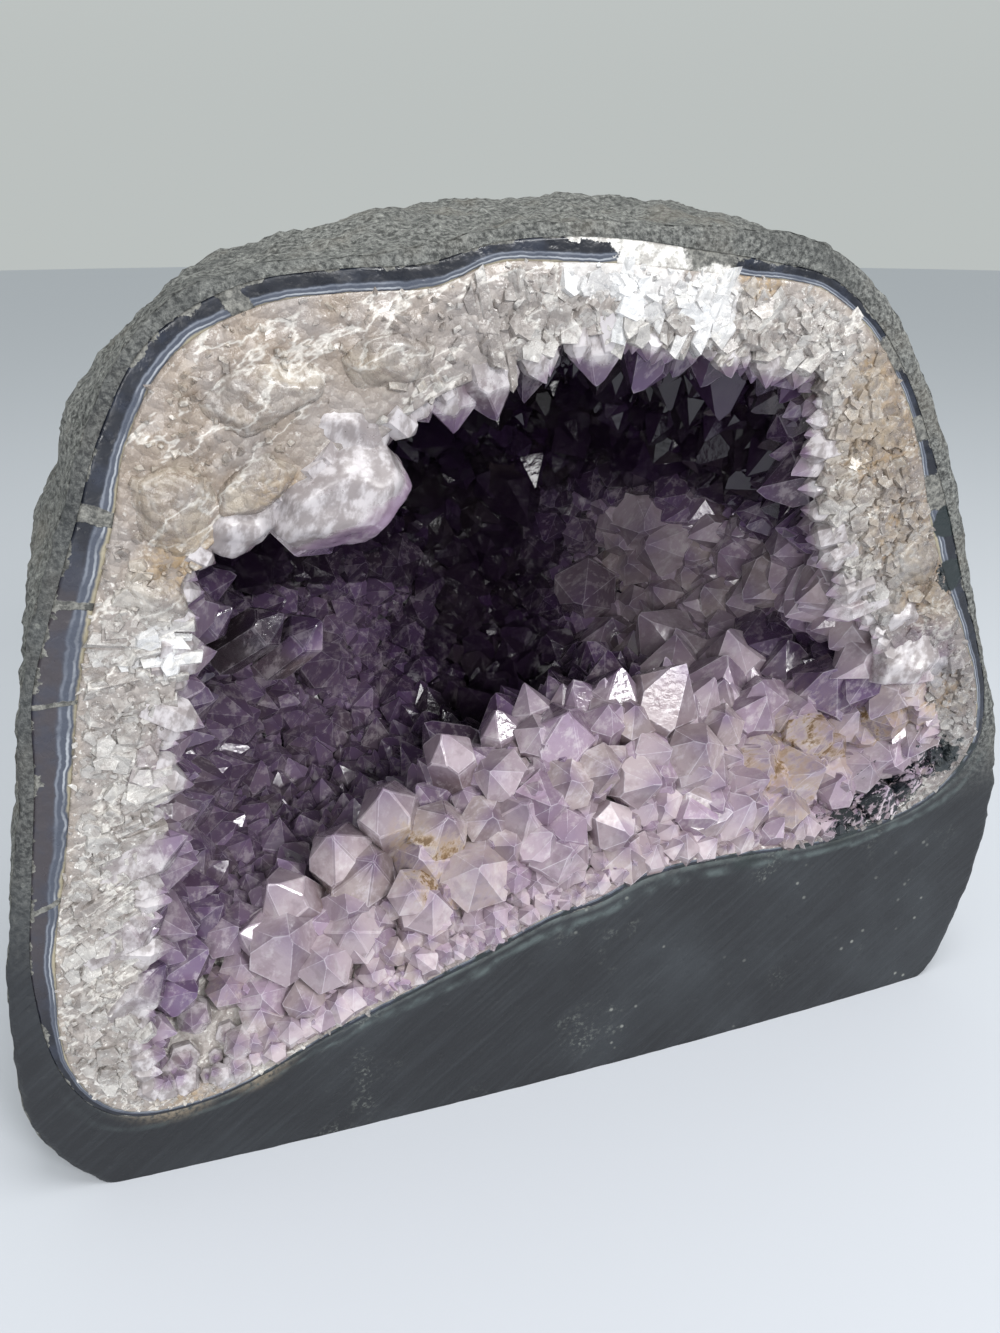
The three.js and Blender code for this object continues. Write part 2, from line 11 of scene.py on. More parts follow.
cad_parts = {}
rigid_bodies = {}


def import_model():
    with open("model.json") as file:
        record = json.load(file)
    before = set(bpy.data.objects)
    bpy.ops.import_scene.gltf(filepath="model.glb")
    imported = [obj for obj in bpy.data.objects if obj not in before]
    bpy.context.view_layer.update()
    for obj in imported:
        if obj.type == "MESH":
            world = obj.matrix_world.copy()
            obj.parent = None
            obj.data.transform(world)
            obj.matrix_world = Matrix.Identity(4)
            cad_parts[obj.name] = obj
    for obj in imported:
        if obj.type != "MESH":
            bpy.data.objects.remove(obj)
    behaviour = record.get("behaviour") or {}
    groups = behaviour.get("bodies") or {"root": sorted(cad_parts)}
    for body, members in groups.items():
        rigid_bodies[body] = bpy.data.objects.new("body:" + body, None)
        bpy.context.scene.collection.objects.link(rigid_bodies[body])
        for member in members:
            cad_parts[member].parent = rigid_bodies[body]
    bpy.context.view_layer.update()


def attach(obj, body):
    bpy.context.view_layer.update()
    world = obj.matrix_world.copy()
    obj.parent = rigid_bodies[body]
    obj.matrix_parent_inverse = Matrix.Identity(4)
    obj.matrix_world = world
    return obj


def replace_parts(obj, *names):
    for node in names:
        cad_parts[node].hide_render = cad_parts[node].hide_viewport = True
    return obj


bl_info = {
    "name": "Amethyst geode",
    "version": (1, 0, 0),
    "blender": (4, 5, 0),
    "location": "3D View > Sidebar > Geode",
    "description": "Builds an amethyst cathedral geode around its packed construction model",
    "category": "Add Mesh",
}

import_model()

# The construction model's own sizes, in millimetres, before its middle is moved over the origin.
MM = 0.001
SHIFT = (-0.545, 1.852)
BODY_DEPTH = 138
ROCK_BACK_WALL = 12
AGATE_BACK_WIDTH = 4
CAVITY_DEPTH = 106
LAYER_GAP = 0.4
HEART_X, HEART_Z = -5, 118
DOME_ROUNDNESS = 3
BACK_DROP = 32
BACK_DROP_CURVE = 2.5
FACE_BULGE = 3
FACE_BULGE_HALF_WIDTH = 118
FACE_BULGE_TOP = 75
FACE_BULGE_DEPTH = 20
LUMP_HEIGHT = 3
LUMP_HEIGHT_AT_FACE = 0.5
LUMPS_START_DEPTH = 30
WIDE_LUMP = 16
FINE_LUMP = 9
FINE_LUMP_SHARE = 0.35
HOLLOW_DEPTH = BODY_DEPTH - ROCK_BACK_WALL
SHOULDER_DEPTH = 45
LIP_DEPTH = 24
BELLY_DEPTH = 58
PYRAMID_ANGLE = math.radians(51.8)
SIDE_VARIATION = 0.14
SMALL_FACE_DROP = 0.3
LARGE_FACE_DROP = 0.06
BED_SEED = 7

# Outlines seen from the front, as (degrees from +X, millimetres from the heart of the hollow).
ROCK_EDGE = [
    (0, 102.5), (15, 95.5), (30, 92.5), (45, 91.5), (55, 88), (65, 82), (75, 77.5), (90, 75.5), (105, 75.5),
    (115, 78), (125, 85), (135, 92), (145, 93.5), (160, 92.5), (175, 97), (190, 104.5), (200, 114.5),
    (210, 130.5), (220, 149.5), (226, 156), (233, 156), (250, 142), (270, 132), (290, 140), (305, 157),
    (314, 163.5), (320, 157.5), (330, 143.5), (340, 128.5), (350, 112.5),
]
ROCK_SHOULDER = [
    (0, 103), (15, 97), (30, 94), (45, 93.5), (55, 91), (65, 88), (75, 84.5), (90, 81), (105, 80.5),
    (115, 82), (125, 86.5), (135, 91.5), (145, 94), (160, 94), (175, 98), (190, 106.5), (200, 117),
    (210, 132), (220, 149), (226, 154), (233, 154), (250, 143), (270, 134), (290, 142), (305, 156),
    (314, 161), (320, 156), (330, 144), (340, 129), (350, 113.5),
]
HOLLOW_EDGE = [
    (0, 99.5), (10, 93.5), (20, 90), (30, 88.5), (40, 87.5), (50, 85.3), (60, 79.5), (70, 75.4), (80, 73.7),
    (90, 73.2), (100, 73.4), (110, 73.6), (120, 79.2), (130, 86.5), (140, 91), (150, 90.8), (160, 90.2),
    (170, 92.4), (180, 97), (190, 101.3), (200, 110.5), (210, 124.5), (220, 137.5), (226, 138.5),
    (232, 127), (240, 103.4), (250, 87), (260, 77.4), (270, 71), (280, 70), (290, 69), (300, 73.5),
    (310, 84), (320, 101), (330, 118), (338, 123), (345, 117), (352, 108),
]
AGATE_WIDTH = [
    (0, 4), (10, 4.5), (20, 2.6), (35, 1.6), (50, 2.2), (65, 3.2), (80, 3.6), (90, 3.7), (100, 2.8),
    (110, 3.6), (130, 3.8), (150, 3.8), (160, 5.2), (170, 6), (180, 7.2), (190, 6.2), (200, 6.2),
    (210, 4.8), (220, 1.8), (240, 1.5), (330, 1.5), (345, 2.5),
]
FLOOR_RISE = [(0, 0), (200, 0), (230, 2), (255, 4), (290, 6), (315, 6), (335, 3), (350, 0)]
BED_MOUTH = [
    (0, 72), (15, 64), (30, 67), (40, 73), (50, 68), (60, 62), (75, 59), (90, 56), (105, 53), (120, 53),
    (130, 53), (140, 56), (150, 62), (165, 72), (180, 73), (190, 79), (200, 87), (206, 95), (213, 106),
    (220, 119), (226, 132), (232, 122), (240, 100), (250, 84.5), (260, 75), (270, 69), (280, 68),
    (290, 67), (300, 71.5), (310, 82), (320, 98), (330, 113), (337, 112), (344, 97), (352, 82),
]
BED_LIP = [
    (0, 80), (15, 76), (30, 74), (45, 70), (60, 62), (75, 60), (90, 58), (105, 57), (120, 61), (130, 66),
    (140, 72), (150, 75), (165, 78), (180, 80), (190, 84), (200, 88), (210, 96), (220, 101), (230, 90),
    (240, 69), (250, 54), (260, 45), (270, 38), (280, 35), (290, 36), (300, 38), (310, 44), (320, 58),
    (330, 74), (338, 86), (345, 88), (352, 84),
]
BED_BELLY = [
    (0, 76), (20, 73), (45, 66), (60, 60), (75, 56), (90, 54), (110, 55), (125, 60), (140, 68), (160, 73),
    (180, 75), (200, 80), (220, 88), (230, 84), (240, 76), (250, 66), (260, 58), (270, 52), (285, 50),
    (300, 52), (310, 56), (320, 62), (330, 69), (345, 75),
]

# Named crystals: (x, depth and z of the tip), the way the tip points, width and length.
FLOOR_CRYSTALS = [
    ((4, 14, 92), (-0.1, -0.5, 0.86), 16, 28),
    ((-8, 6, 75), (-0.1, -0.65, 0.75), 16, 24),
    ((-1, 15, 79), (0.35, -0.45, 0.82), 10, 20),
    ((13, 13, 77), (0.1, -0.6, 0.79), 12, 20),
    ((21, 23, 97), (0.1, -0.2, 0.97), 14, 26),
    ((10, 26, 94), (-0.3, -0.1, 0.95), 12, 24),
    ((-51, 13, 71), (-0.25, -0.45, 0.86), 13, 22),
    ((-66, 11, 63), (-0.5, -0.4, 0.77), 12, 20),
    ((-43, 8, 66), (0.15, -0.65, 0.74), 14, 22),
    ((-50, 2, 54), (-0.2, -0.75, 0.63), 12, 17),
    ((-73, 8, 54), (-0.6, -0.5, 0.62), 9, 17),
    ((49, 23, 90), (0, -0.3, 0.95), 13, 24),
    ((67, 19, 89), (0.05, -0.35, 0.93), 13, 24),
    ((81, 13, 87), (-0.2, -0.4, 0.89), 13, 22),
    ((-39, 14, 80), (-0.2, -0.4, 0.89), 13, 24),
    ((-24, 20, 88), (-0.25, -0.3, 0.92), 11, 22),
    ((-26, 8, 74), (0.1, -0.6, 0.79), 13, 22),
    ((27, 6, 69), (0, -0.7, 0.71), 13, 20),
    ((36, 12, 79), (-0.2, -0.5, 0.84), 12, 22),
    ((54, 9, 78), (0.1, -0.6, 0.79), 12, 20),
    ((1, 1, 59), (0, -0.75, 0.66), 11, 15),
    ((-20, 2, 64), (-0.1, -0.75, 0.66), 12, 17),
    ((-36, 2, 61), (-0.15, -0.75, 0.64), 11, 15),
    ((68, 5, 74), (0, -0.7, 0.71), 11, 17),
    ((46, 3, 68), (0.1, -0.75, 0.65), 10, 15),
    ((83, 4, 75), (-0.2, -0.7, 0.68), 10, 17),
    ((92, 8, 86), (-0.5, -0.4, 0.76), 11, 20),
    ((34, 24, 94), (0.1, -0.1, 0.99), 12, 24),
    ((-9, 26, 89), (-0.2, -0.1, 0.97), 10, 24),
]
RIM_CRYSTALS = [
    ((-16, 4, 160), (0.25, -0.1, -0.96), 11, 20),
    ((4, 5, 165), (0.05, -0.1, -0.99), 9, 17),
    ((-24, 5, 158), (0.1, 0, -0.99), 8, 18),
    ((-32, 8, 160), (0.3, 0, -0.95), 8, 17),
    ((-47, 10, 136), (0.6, 0.2, -0.76), 11, 15),
    ((-63, 8, 143), (0.75, 0, -0.66), 9, 18),
    ((-71, 7, 131), (0.95, -0.05, -0.3), 9, 18),
    ((-66, 16, 125), (0.8, -0.3, 0.4), 8, 16),
    ((-56, 20, 121), (0.7, -0.3, 0.5), 8, 18),
    ((-48, 24, 117), (0.6, -0.4, 0.6), 9, 18),
    ((-73, 5, 114), (0.98, -0.1, -0.1), 9, 18),
    ((-78, 5, 96), (0.98, -0.1, -0.05), 10, 17),
    ((-80, 2, 84), (0.95, -0.1, 0.25), 9, 18),
    ((-86, 2, 68), (0.9, -0.1, 0.4), 11, 18),
    ((14, 5, 169), (0.1, 0, -0.99), 10, 17),
    ((27, 6, 169), (-0.1, -0.1, -0.98), 10, 17),
    ((38, 6, 167), (-0.1, 0, -0.98), 9, 17),
    ((50, 6, 166), (-0.5, -0.1, -0.86), 10, 18),
    ((56, 6, 154), (-0.8, -0.2, -0.5), 8, 17),
    ((58, 6, 143), (-0.93, -0.2, -0.2), 9, 17),
    ((62, 7, 129), (-0.95, -0.2, 0), 12, 18),
    ((72, 6, 112), (-0.93, -0.2, 0.2), 10, 17),
    ((77, 3, 99), (-0.93, -0.3, 0.2), 16, 24),
    ((-8, 6, 168), (0.1, -0.1, -0.99), 8, 17),
    ((-88, 3, 54), (0.8, -0.1, 0.6), 10, 18),
]
# Rounded masses on the rim: middle, half sizes, degrees they rise to the right, and how lilac
# their underside is.
LOBES = [
    ((-46, 4.5, 149), (13.5, 8, 10), 22, 1.0),
    ((-43, 5, 161), (9, 6, 6.5), -20, 0.1),
    ((-64, 4, 145), (7, 6, 5.5), 30, 0.2),
    ((85, 3.5, 100), (11, 6, 6.5), 20, 0.5),
    ((78, 4, 111), (7, 5.5, 5), 10, 0.4),
]
# Low masses of clear quartz in the broken face, given in the same way.
MASSES = [
    ((-58, 1.6, 167), (12, 4.4, 6.5), 15, 0),
    ((-74, 1.6, 150), (8, 4.4, 8), -20, 0),
    ((-36, 1.6, 172), (9, 4.4, 5.5), 5, 0),
    ((-61, 1.6, 152), (8, 4.4, 5), 35, 0),
    ((-80, 1.8, 134), (6, 4.2, 7), 0, 0),
    ((80, 1.8, 124), (7, 4.2, 8), -15, 0),
    ((90, 1.8, 108), (5.5, 4.2, 7), 10, 0),
]
LOBE_SIDES = 17
LOBE_SHARPNESS = 28
GOLDEN_ANGLE = 2.39996
GOLDEN_SHARE = 0.618

# Soft spots of colour and light: (x, depth, z, radius)
PALE_PLACES = [(-22, 24, 90, 14), (-50, 28, 107, 12)]
DUSKY_PLACES = [(-56, 20, 121, 16), (-82, 6, 53, 11), (-78, 9, 66, 11), (-88, 4, 44, 8)]
# Painted shade: spots in the shadowed valley behind the floor ridge, where the crystals are painted near
# black.
SHADED_VALLEY_PLACES = [(79, 29, 91, 16), (60, 34, 93, 12), (44, 36, 92, 10)]
GLASSY_PLACES = [(-66, 0, 156, 36), (-50, 0, 168, 32), (-30, 0, 174, 22)]
# Painted shade on the low right of the rim.
SHADED_RIM_PLACES = [(94, 0, 90, 22)]
GRITTY_PLACES = [(-82, 2, 28, 15), (-66, 2, 34, 9)]
EARTHY_PLACES = [(-92, 0, 24, 14), (-74, 0, 27, 12)]
FLOOR_STAINS = [
    (56, 2, 68, 12), (68, 4, 73, 12), (84, 5, 82, 11), (-26, 2, 60, 12), (-34, 6, 66, 8),
    (96, 6, 90, 10), (-76, 1, 40, 9),
]
WARM_PLACES = [
    (-70, 0, 152, 30), (-62, 0, 170, 24), (-40, 0, 178, 18), (72, 0, 168, 18), (66, 0, 148, 18),
    (92, 0, 120, 20),
]
BROWN_PLACES = [
    (-74, 0, 140, 9), (-57, 0, 151, 7), (66, 0, 152, 15), (74, 0, 132, 14), (84, 0, 118, 12),
    (34, 0, 184, 7), (60, 0, 164, 9), (-88, 0, 26, 12),
]
LILAC_PLACES = [(-44, 0, 146, 11), (-80, 0, 103, 8), (86, 0, 100, 14), (-10, 0, 50, 42), (40, 0, 66, 36)]
WHITE_PLACES = [(0, 0, 187, 9), (11, 0, 185, 11), (24, 0, 180, 9), (-80, 0, 124, 8), (92, 0, 96, 6)]
SOOT_PLACES = [
    (87, 0, 133, 6), (90, 0, 120, 6), (72, 0, 56, 8), (80, 1, 60, 8), (89, 1, 65, 9), (98, 0, 72, 9),
    (46, 0, 50, 7),
]
# Where grey rock crosses the agate: (degrees from +X, half its width in degrees)
AGATE_BREAKS = [
    (131, 1.3), (159, 0.9), (169.5, 0.4), (181, 0.1), (203, 0.1), (73, 10.5), (36, 3), (24, 2), (14, 3),
]

# The photo's camera, in metres, degrees and millimetres of lens
CAMERA_PLACE = (-0.0732, -0.2401, 0.1952)
CAMERA_YAW = 17.94
CAMERA_PITCH = 24.5
SENSOR_WIDTH = 36.0
LENS_LENGTH = 27.03
FLOOR_RADIUS = 4.0
# Soft round lights: name, where it stands, where it aims, size and power
LIGHTS = [
    ("top_light", (0.05, -0.25, 0.9), (0.0, 0.0, 0.1), 0.4, 3.5),
    ("key_light", (0.32, -0.9, 0.6), (-0.02, -0.02, 0.08), 0.3, 6.5),
    ("side_light", (-0.4, -0.9, 0.36), (0.03, 0.0, 0.1), 0.35, 3.5),
]

QUARTZ_IOR = 1.544
MOST_PER_SQUARE_METRE = 400000.0
FULL_TURN = 6.2832
# How much of a grown crystal stands above its foot point
STANDING_SHARE = 0.62
# A named crystal turns from foot to tip colour within this many widths of its tip.
TIP_COLOR_WIDTHS = 1.7

# Mesh resolution, and the rough sizes that its rings are spread by
MEAN_ROCK_RADIUS = 100
MEAN_BED_RADIUS = 70
EDGE_WEAR_REACH = 2.4
LINING_DEPTHS = (0.98, 0.9, 0.75, 0.55, 0.35, 0.18, 0.06)
ROCK_SEGMENTS = 520
ROCK_RINGS = 140
FACE_ROWS = 40
AGATE_SEGMENTS = 960
BED_SEGMENTS = 560
SUPPORT_SEGMENTS = 160


def srgb(red, green, blue):
    """A colour, given 0 to 255, as Blender's linear colour."""
    parts = [part / 255 for part in (red, green, blue)]
    return tuple(p / 12.92 if p <= 0.04045 else ((p + 0.055) / 1.055) ** 2.4 for p in parts) + (1.0,)


# Shape formulas. Those of the rock, its linings and the bed are the construction model's own.


def smooth(value, start=0.0, end=1.0):
    """0 below start, 1 above end, and a soft rise between them."""
    t = np.clip((value - start) / (end - start), 0, 1)
    return t * t * (3 - 2 * t)


def blend(a, b, share):
    return a + (b - a) * share


def along(outline, degree):
    """The radius at any angle of a closed outline, by a cubic through its points."""
    degree = np.mod(np.asarray(degree, float), 360)
    at = np.array([point[0] for point in outline], float)
    radius = np.array([point[1] for point in outline], float)
    at = np.concatenate([at[-2:] - 360, at, at[:2] + 360])
    radius = np.concatenate([radius[-2:], radius, radius[:2]])
    after = np.searchsorted(at, degree, side="right")
    span = at[after] - at[after - 1]
    t = (degree - at[after - 1]) / span
    start_slope = (radius[after] - radius[after - 2]) / (at[after] - at[after - 2]) * span
    end_slope = (radius[after + 1] - radius[after - 1]) / (at[after + 1] - at[after - 1]) * span
    t2, t3 = t * t, t * t * t
    return (
        (2 * t3 - 3 * t2 + 1) * radius[after - 1]
        + (t3 - 2 * t2 + t) * start_slope
        + (3 * t2 - 2 * t3) * radius[after]
        + (t3 - t2) * end_slope
    )


def closing(depth, reach):
    """The dome closes toward its back as a rounded lump."""
    return np.sqrt(np.maximum(0, 1 - (depth / reach) ** DOME_ROUNDNESS))


def place(x, depth, z):
    """From the cut face's sizes (across, depth behind the face, height) to points, in millimetres."""
    x, depth, z = np.broadcast_arrays(np.asarray(x, float), depth, z)
    bulge = (
        FACE_BULGE
        * np.maximum(0, 1 - (x / FACE_BULGE_HALF_WIDTH) ** 2)
        * np.maximum(0, 1 - z / FACE_BULGE_TOP)
        * np.maximum(0, 1 - depth / FACE_BULGE_DEPTH)
    )
    return np.stack([x + SHIFT[0], depth - BODY_DEPTH / 2 - bulge + SHIFT[1], z], axis=-1)


def on_ring(degree, radius, depth):
    angle = np.radians(degree)
    drop = BACK_DROP * (np.maximum(0, depth) / BODY_DEPTH) ** BACK_DROP_CURVE
    return place(HEART_X + radius * np.cos(angle), depth, HEART_Z - drop + radius * np.sin(angle))


def lumps(points):
    """Low waves that make the rock lumpy, from -1 to 1."""
    x, y, z = points[..., 0] - SHIFT[0], points[..., 1] - SHIFT[1], points[..., 2]
    wide = np.sin(x / WIDE_LUMP + 1) * np.sin(y / WIDE_LUMP + 1.3) * np.cos(z / WIDE_LUMP)
    fine = np.sin((x + z) / FINE_LUMP) * np.sin((y - z) / FINE_LUMP)
    return (1 - FINE_LUMP_SHARE) * wide + FINE_LUMP_SHARE * fine


def rock_outward(degree, depth):
    angle = np.radians(degree)
    degree, depth = np.broadcast_arrays(degree, depth)
    return np.stack([np.cos(angle) + 0 * depth, depth / BODY_DEPTH, np.sin(angle) + 0 * depth], axis=-1)


def rock_point(degree, depth):
    edge = along(ROCK_EDGE, degree)
    shoulder = along(ROCK_SHOULDER, degree) / closing(SHOULDER_DEPTH, BODY_DEPTH)
    swollen = blend(edge, shoulder, smooth(depth / SHOULDER_DEPTH))
    points = on_ring(degree, swollen * closing(depth, BODY_DEPTH), depth)
    height = blend(LUMP_HEIGHT_AT_FACE, LUMP_HEIGHT, smooth(depth / LUMPS_START_DEPTH))
    return points + rock_outward(degree, depth) * (height * lumps(points))[..., None]


def lining_point(degree, share, edge_inset, deep_inset):
    """A lining of the hollow, some millimetres inside the rock's own hollow."""
    reach = HOLLOW_DEPTH - deep_inset
    depth = reach * share
    rise = along(FLOOR_RISE, degree) * smooth(depth / LIP_DEPTH)
    inset = blend(edge_inset, deep_inset, smooth(depth / LIP_DEPTH))
    open_radius = along(HOLLOW_EDGE, degree) - rise
    return on_ring(degree, (open_radius - inset) * closing(depth, reach), depth)


def bed_point(degree, depth):
    """The surface that the crystals grow from, from its mouth to the back."""
    mouth, lip, belly = (along(outline, degree) for outline in (BED_MOUTH, BED_LIP, BED_BELLY))
    radius = blend(mouth, lip, smooth(depth / LIP_DEPTH))
    inner = blend(lip, belly, smooth((depth - LIP_DEPTH) / (BELLY_DEPTH - LIP_DEPTH)))
    radius = np.where(depth > LIP_DEPTH, inner, radius)
    past = np.clip((depth - BELLY_DEPTH) / (CAVITY_DEPTH - BELLY_DEPTH), 0, 1)
    return on_ring(degree, np.where(depth > BELLY_DEPTH, belly * np.sqrt(1 - past**2), radius), depth)


def rim_face(degree, rows):
    """The broken quartz face in rows from the agate to the mouth.

    Returns its points, how far each is from the agate and from the mouth, and the way to the mouth.
    """
    start = lining_point(degree, 0, LAYER_GAP + along(AGATE_WIDTH, degree), 0)[0]
    mouth = bed_point(degree, 0.0)[0]
    share = np.linspace(0, 1, rows)[:, None]
    face = start[None] * (1 - share[..., None]) + mouth[None] * share[..., None]
    breadth = np.linalg.norm(mouth - start, axis=-1)
    swell = np.sin(np.pi * np.clip(share * 1.1, 0, 1)) ** 0.6 * smooth(breadth, 2, 8)
    face[..., 1] -= swell * (0.6 + 1.3 * rough(face, 7, 11) + 0.5 * rough(face, 2, 13))
    toward = np.broadcast_to(((mouth - start) / breadth[:, None])[None], face.shape)
    return face, share * breadth, (1 - share) * breadth, toward


def even_degrees(outline, count):
    """Angles that part an outline into pieces of equal length."""
    fine = np.linspace(0, 360, 7201)
    radius = along(outline, fine)
    x, z = radius * np.cos(np.radians(fine)), radius * np.sin(np.radians(fine))
    length = np.concatenate([[0], np.cumsum(np.hypot(np.diff(x), np.diff(z)))])
    return np.interp(np.linspace(0, length[-1], count, endpoint=False), length, fine)


def even_depths(profile, depth_range, count):
    """Depths that part a profile of (depth -> radius) into pieces of equal length, from front to back."""
    fine = np.linspace(depth_range[0], depth_range[1], 6001)
    radius = profile(fine)
    length = np.concatenate([[0], np.cumsum(np.hypot(np.diff(fine), np.diff(radius)))])
    return np.interp(np.linspace(0, length[-1], count), length, fine)


def bed_depths(first, last, count):
    """Depths from first to last that part the bed's side into pieces of about equal length."""
    def profile(depth):
        return MEAN_BED_RADIUS * np.sqrt(1 - np.clip(depth / CAVITY_DEPTH, 0, 1) ** 3)

    return even_depths(profile, (first, last), count)


def rough(points, grain, seed, octaves=3):
    """Noise from -1 to 1 at every point, with grains of the given size in millimetres."""
    offset = Vector((seed * 31.7, seed * 17.3, seed * 7.9))
    flat = points.reshape(-1, 3) / grain
    values = [noise.fractal(Vector(point) + offset, 1.0, 2.0, octaves) for point in flat]
    return np.array(values).reshape(points.shape[:-1])


# Meshes


def finish_piece(mesh, name, material):
    """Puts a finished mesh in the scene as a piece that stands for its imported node."""
    piece = bpy.data.objects.new(name, mesh)
    bpy.context.scene.collection.objects.link(piece)
    mesh.materials.clear()
    mesh.materials.append(material)
    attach(piece, "root")
    return piece


def shade_smooth(mesh):
    mesh.polygons.foreach_set("use_smooth", [True] * len(mesh.polygons))


def store(mesh, key, values):
    """Keeps a number for every point of a mesh, where the materials find it."""
    values = np.asarray(values).reshape(-1).astype(np.float32)
    mesh.attributes.new(key, "FLOAT", "POINT").data.foreach_set("value", values)


def points_of(mesh):
    """The points of a mesh, in millimetres."""
    return np.array([vertex.co for vertex in mesh.vertices]) / MM


def as_mesh(shape, name):
    """A bmesh as a plain mesh. The bmesh is freed."""
    mesh = bpy.data.meshes.new(name)
    shape.to_mesh(mesh)
    shape.free()
    return mesh


def ring_quads(count, around, first=0):
    """The four corners of each face between closed rings of points, numbered from first."""
    ring, column = np.meshgrid(np.arange(count - 1), np.arange(around), indexing="ij")
    a = first + ring * around + column
    b = first + ring * around + (column + 1) % around
    return np.stack([a, b, b + around, a + around], axis=-1).reshape(-1, 4)


def loft(name, rings, first, last, values):
    """A closed mesh through rings of points in millimetres, drawn to a point at each end."""
    count, around = len(rings), rings.shape[1]
    points = np.concatenate([[first], rings.reshape(-1, 3), [last]]) * MM
    quads = ring_quads(count, around, first=1)
    column = np.arange(around)
    beside = (column + 1) % around
    end = 1 + (count - 1) * around
    caps = [(0, int(n), int(m)) for m, n in zip(1 + column, 1 + beside)]
    caps += [(end + around, int(m), int(n)) for m, n in zip(end + column, end + beside)]
    mesh = bpy.data.meshes.new(name)
    mesh.from_pydata(points.tolist(), [], quads.tolist() + caps)
    for key, value in values.items():
        store(mesh, key, np.concatenate([[value[0].mean()], value.reshape(-1), [value[-1].mean()]]))
    return mesh


def tuck_in(mesh, proud):
    """Moves whole crystals back until none stands out of the cut face by more than this."""
    points = np.empty(len(mesh.vertices) * 3, np.float32)
    mesh.vertices.foreach_get("co", points)
    points = points.reshape(-1, 3).astype(float)
    crystal = np.empty(len(points), np.int32)
    mesh.attributes["crystal"].data.foreach_get("value", crystal)
    level = place(points[:, 0] / MM - SHIFT[0], -proud, points[:, 2] / MM)[:, 1] * MM
    push = np.zeros(crystal.max() + 1)
    np.maximum.at(push, crystal, level - points[:, 1])
    points[:, 1] += push[crystal]
    mesh.vertices.foreach_set("co", points.reshape(-1).astype(np.float32))


def outward_normals(mesh):
    bm = bmesh.new()
    bm.from_mesh(mesh)
    bmesh.ops.recalc_face_normals(bm, faces=bm.faces)
    bm.to_mesh(mesh)
    bm.free()


def cut_flat(mesh):
    """Cuts a closed mesh flat on the resting plane."""
    bm = bmesh.new()
    bm.from_mesh(mesh)
    everything = bm.verts[:] + bm.edges[:] + bm.faces[:]
    bmesh.ops.bisect_plane(
        bm, geom=everything, dist=1e-6, plane_co=(0, 0, 0), plane_no=(0, 0, 1), clear_inner=True
    )
    rim = [edge for edge in bm.edges if edge.is_boundary]
    bmesh.ops.triangle_fill(bm, use_beauty=True, use_dissolve=False, edges=rim)
    bmesh.ops.recalc_face_normals(bm, faces=bm.faces)
    bm.to_mesh(mesh)
    bm.free()


def random_from(seed):
    """The construction model's own random numbers, so its named crystals come out alike."""
    state = seed
    whole = 0xFFFFFFFF

    def draw():
        nonlocal state
        state = (state + 0x6D2B79F5) & whole
        mixed = ((state ^ (state >> 15)) * (1 | state)) & whole
        mixed = ((mixed + (((mixed ^ (mixed >> 7)) * (61 | mixed)) & whole)) & whole) ^ mixed
        return ((mixed ^ (mixed >> 14)) & whole) / 2**32

    return draw


def crystal_corners(width, length, draw):
    """Corners of a six-sided quartz crystal with a pyramid, standing on +Z with its tip at 0."""
    normals, offsets = [], []
    for face in range(6):
        bearing = face * math.pi / 3
        offsets.append(width / 2 * (1 + SIDE_VARIATION * (2 * draw() - 1)))
        normals.append((math.cos(bearing), math.sin(bearing), 0))
        slant = math.sin(PYRAMID_ANGLE)
        normals.append((math.cos(bearing) * slant, math.sin(bearing) * slant, math.cos(PYRAMID_ANGLE)))
        offsets.append(draw() * (SMALL_FACE_DROP if face % 2 else LARGE_FACE_DROP) * width / 4)
    normals.append((0, 0, -1))
    offsets.append(length)
    normals, offsets = np.array(normals), np.array(offsets)
    corners = []
    for i in range(len(normals)):
        for j in range(i + 1, len(normals)):
            for k in range(j + 1, len(normals)):
                three = normals[[i, j, k]]
                if abs(np.linalg.det(three)) < 1e-4:
                    continue
                corner = np.linalg.solve(three, offsets[[i, j, k]])
                if (normals @ corner <= offsets + 1e-4 * width).all():
                    corners.append(corner)
    return corners


def crystal_shape(corners, draw, edge_width=0.0):
    """A closed convex shape with flat faces through the corners, still as one bmesh.

    Every wide face gets a tone of its own, used as painted light and shade on the faces, and a middle point,
    where "edge" is 0 and not 1.
    """
    bm = bmesh.new()
    for corner in corners:
        bm.verts.new(corner)
    bmesh.ops.remove_doubles(bm, verts=bm.verts, dist=1e-5)
    hull = bmesh.ops.convex_hull(bm, input=bm.verts)
    unused = hull["geom_interior"] + hull["geom_unused"]
    spare = {item for item in unused if isinstance(item, bmesh.types.BMVert)}
    bmesh.ops.delete(bm, geom=list(spare), context="VERTS")
    bmesh.ops.dissolve_limit(bm, angle_limit=math.radians(1), verts=bm.verts, edges=bm.edges)
    bmesh.ops.recalc_face_normals(bm, faces=bm.faces)
    narrow = set()
    if edge_width:
        foot = min(vertex.co.z for vertex in bm.verts) + 0.1
        edges = [edge for edge in bm.edges if min(vertex.co.z for vertex in edge.verts) > foot]
        bevel = bmesh.ops.bevel(bm, geom=edges, offset=edge_width, segments=1, affect="EDGES")
        narrow = set(bevel["faces"])
    facet = bm.faces.layers.float.new("facet")
    edge = bm.verts.layers.float.new("edge")
    for face in bm.faces:
        face[facet] = draw()
    for vertex in bm.verts:
        vertex[edge] = 1
    wide = [face for face in bm.faces if face not in narrow]
    for vertex in bmesh.ops.poke(bm, faces=wide)["verts"]:
        vertex[edge] = 0
    return bm


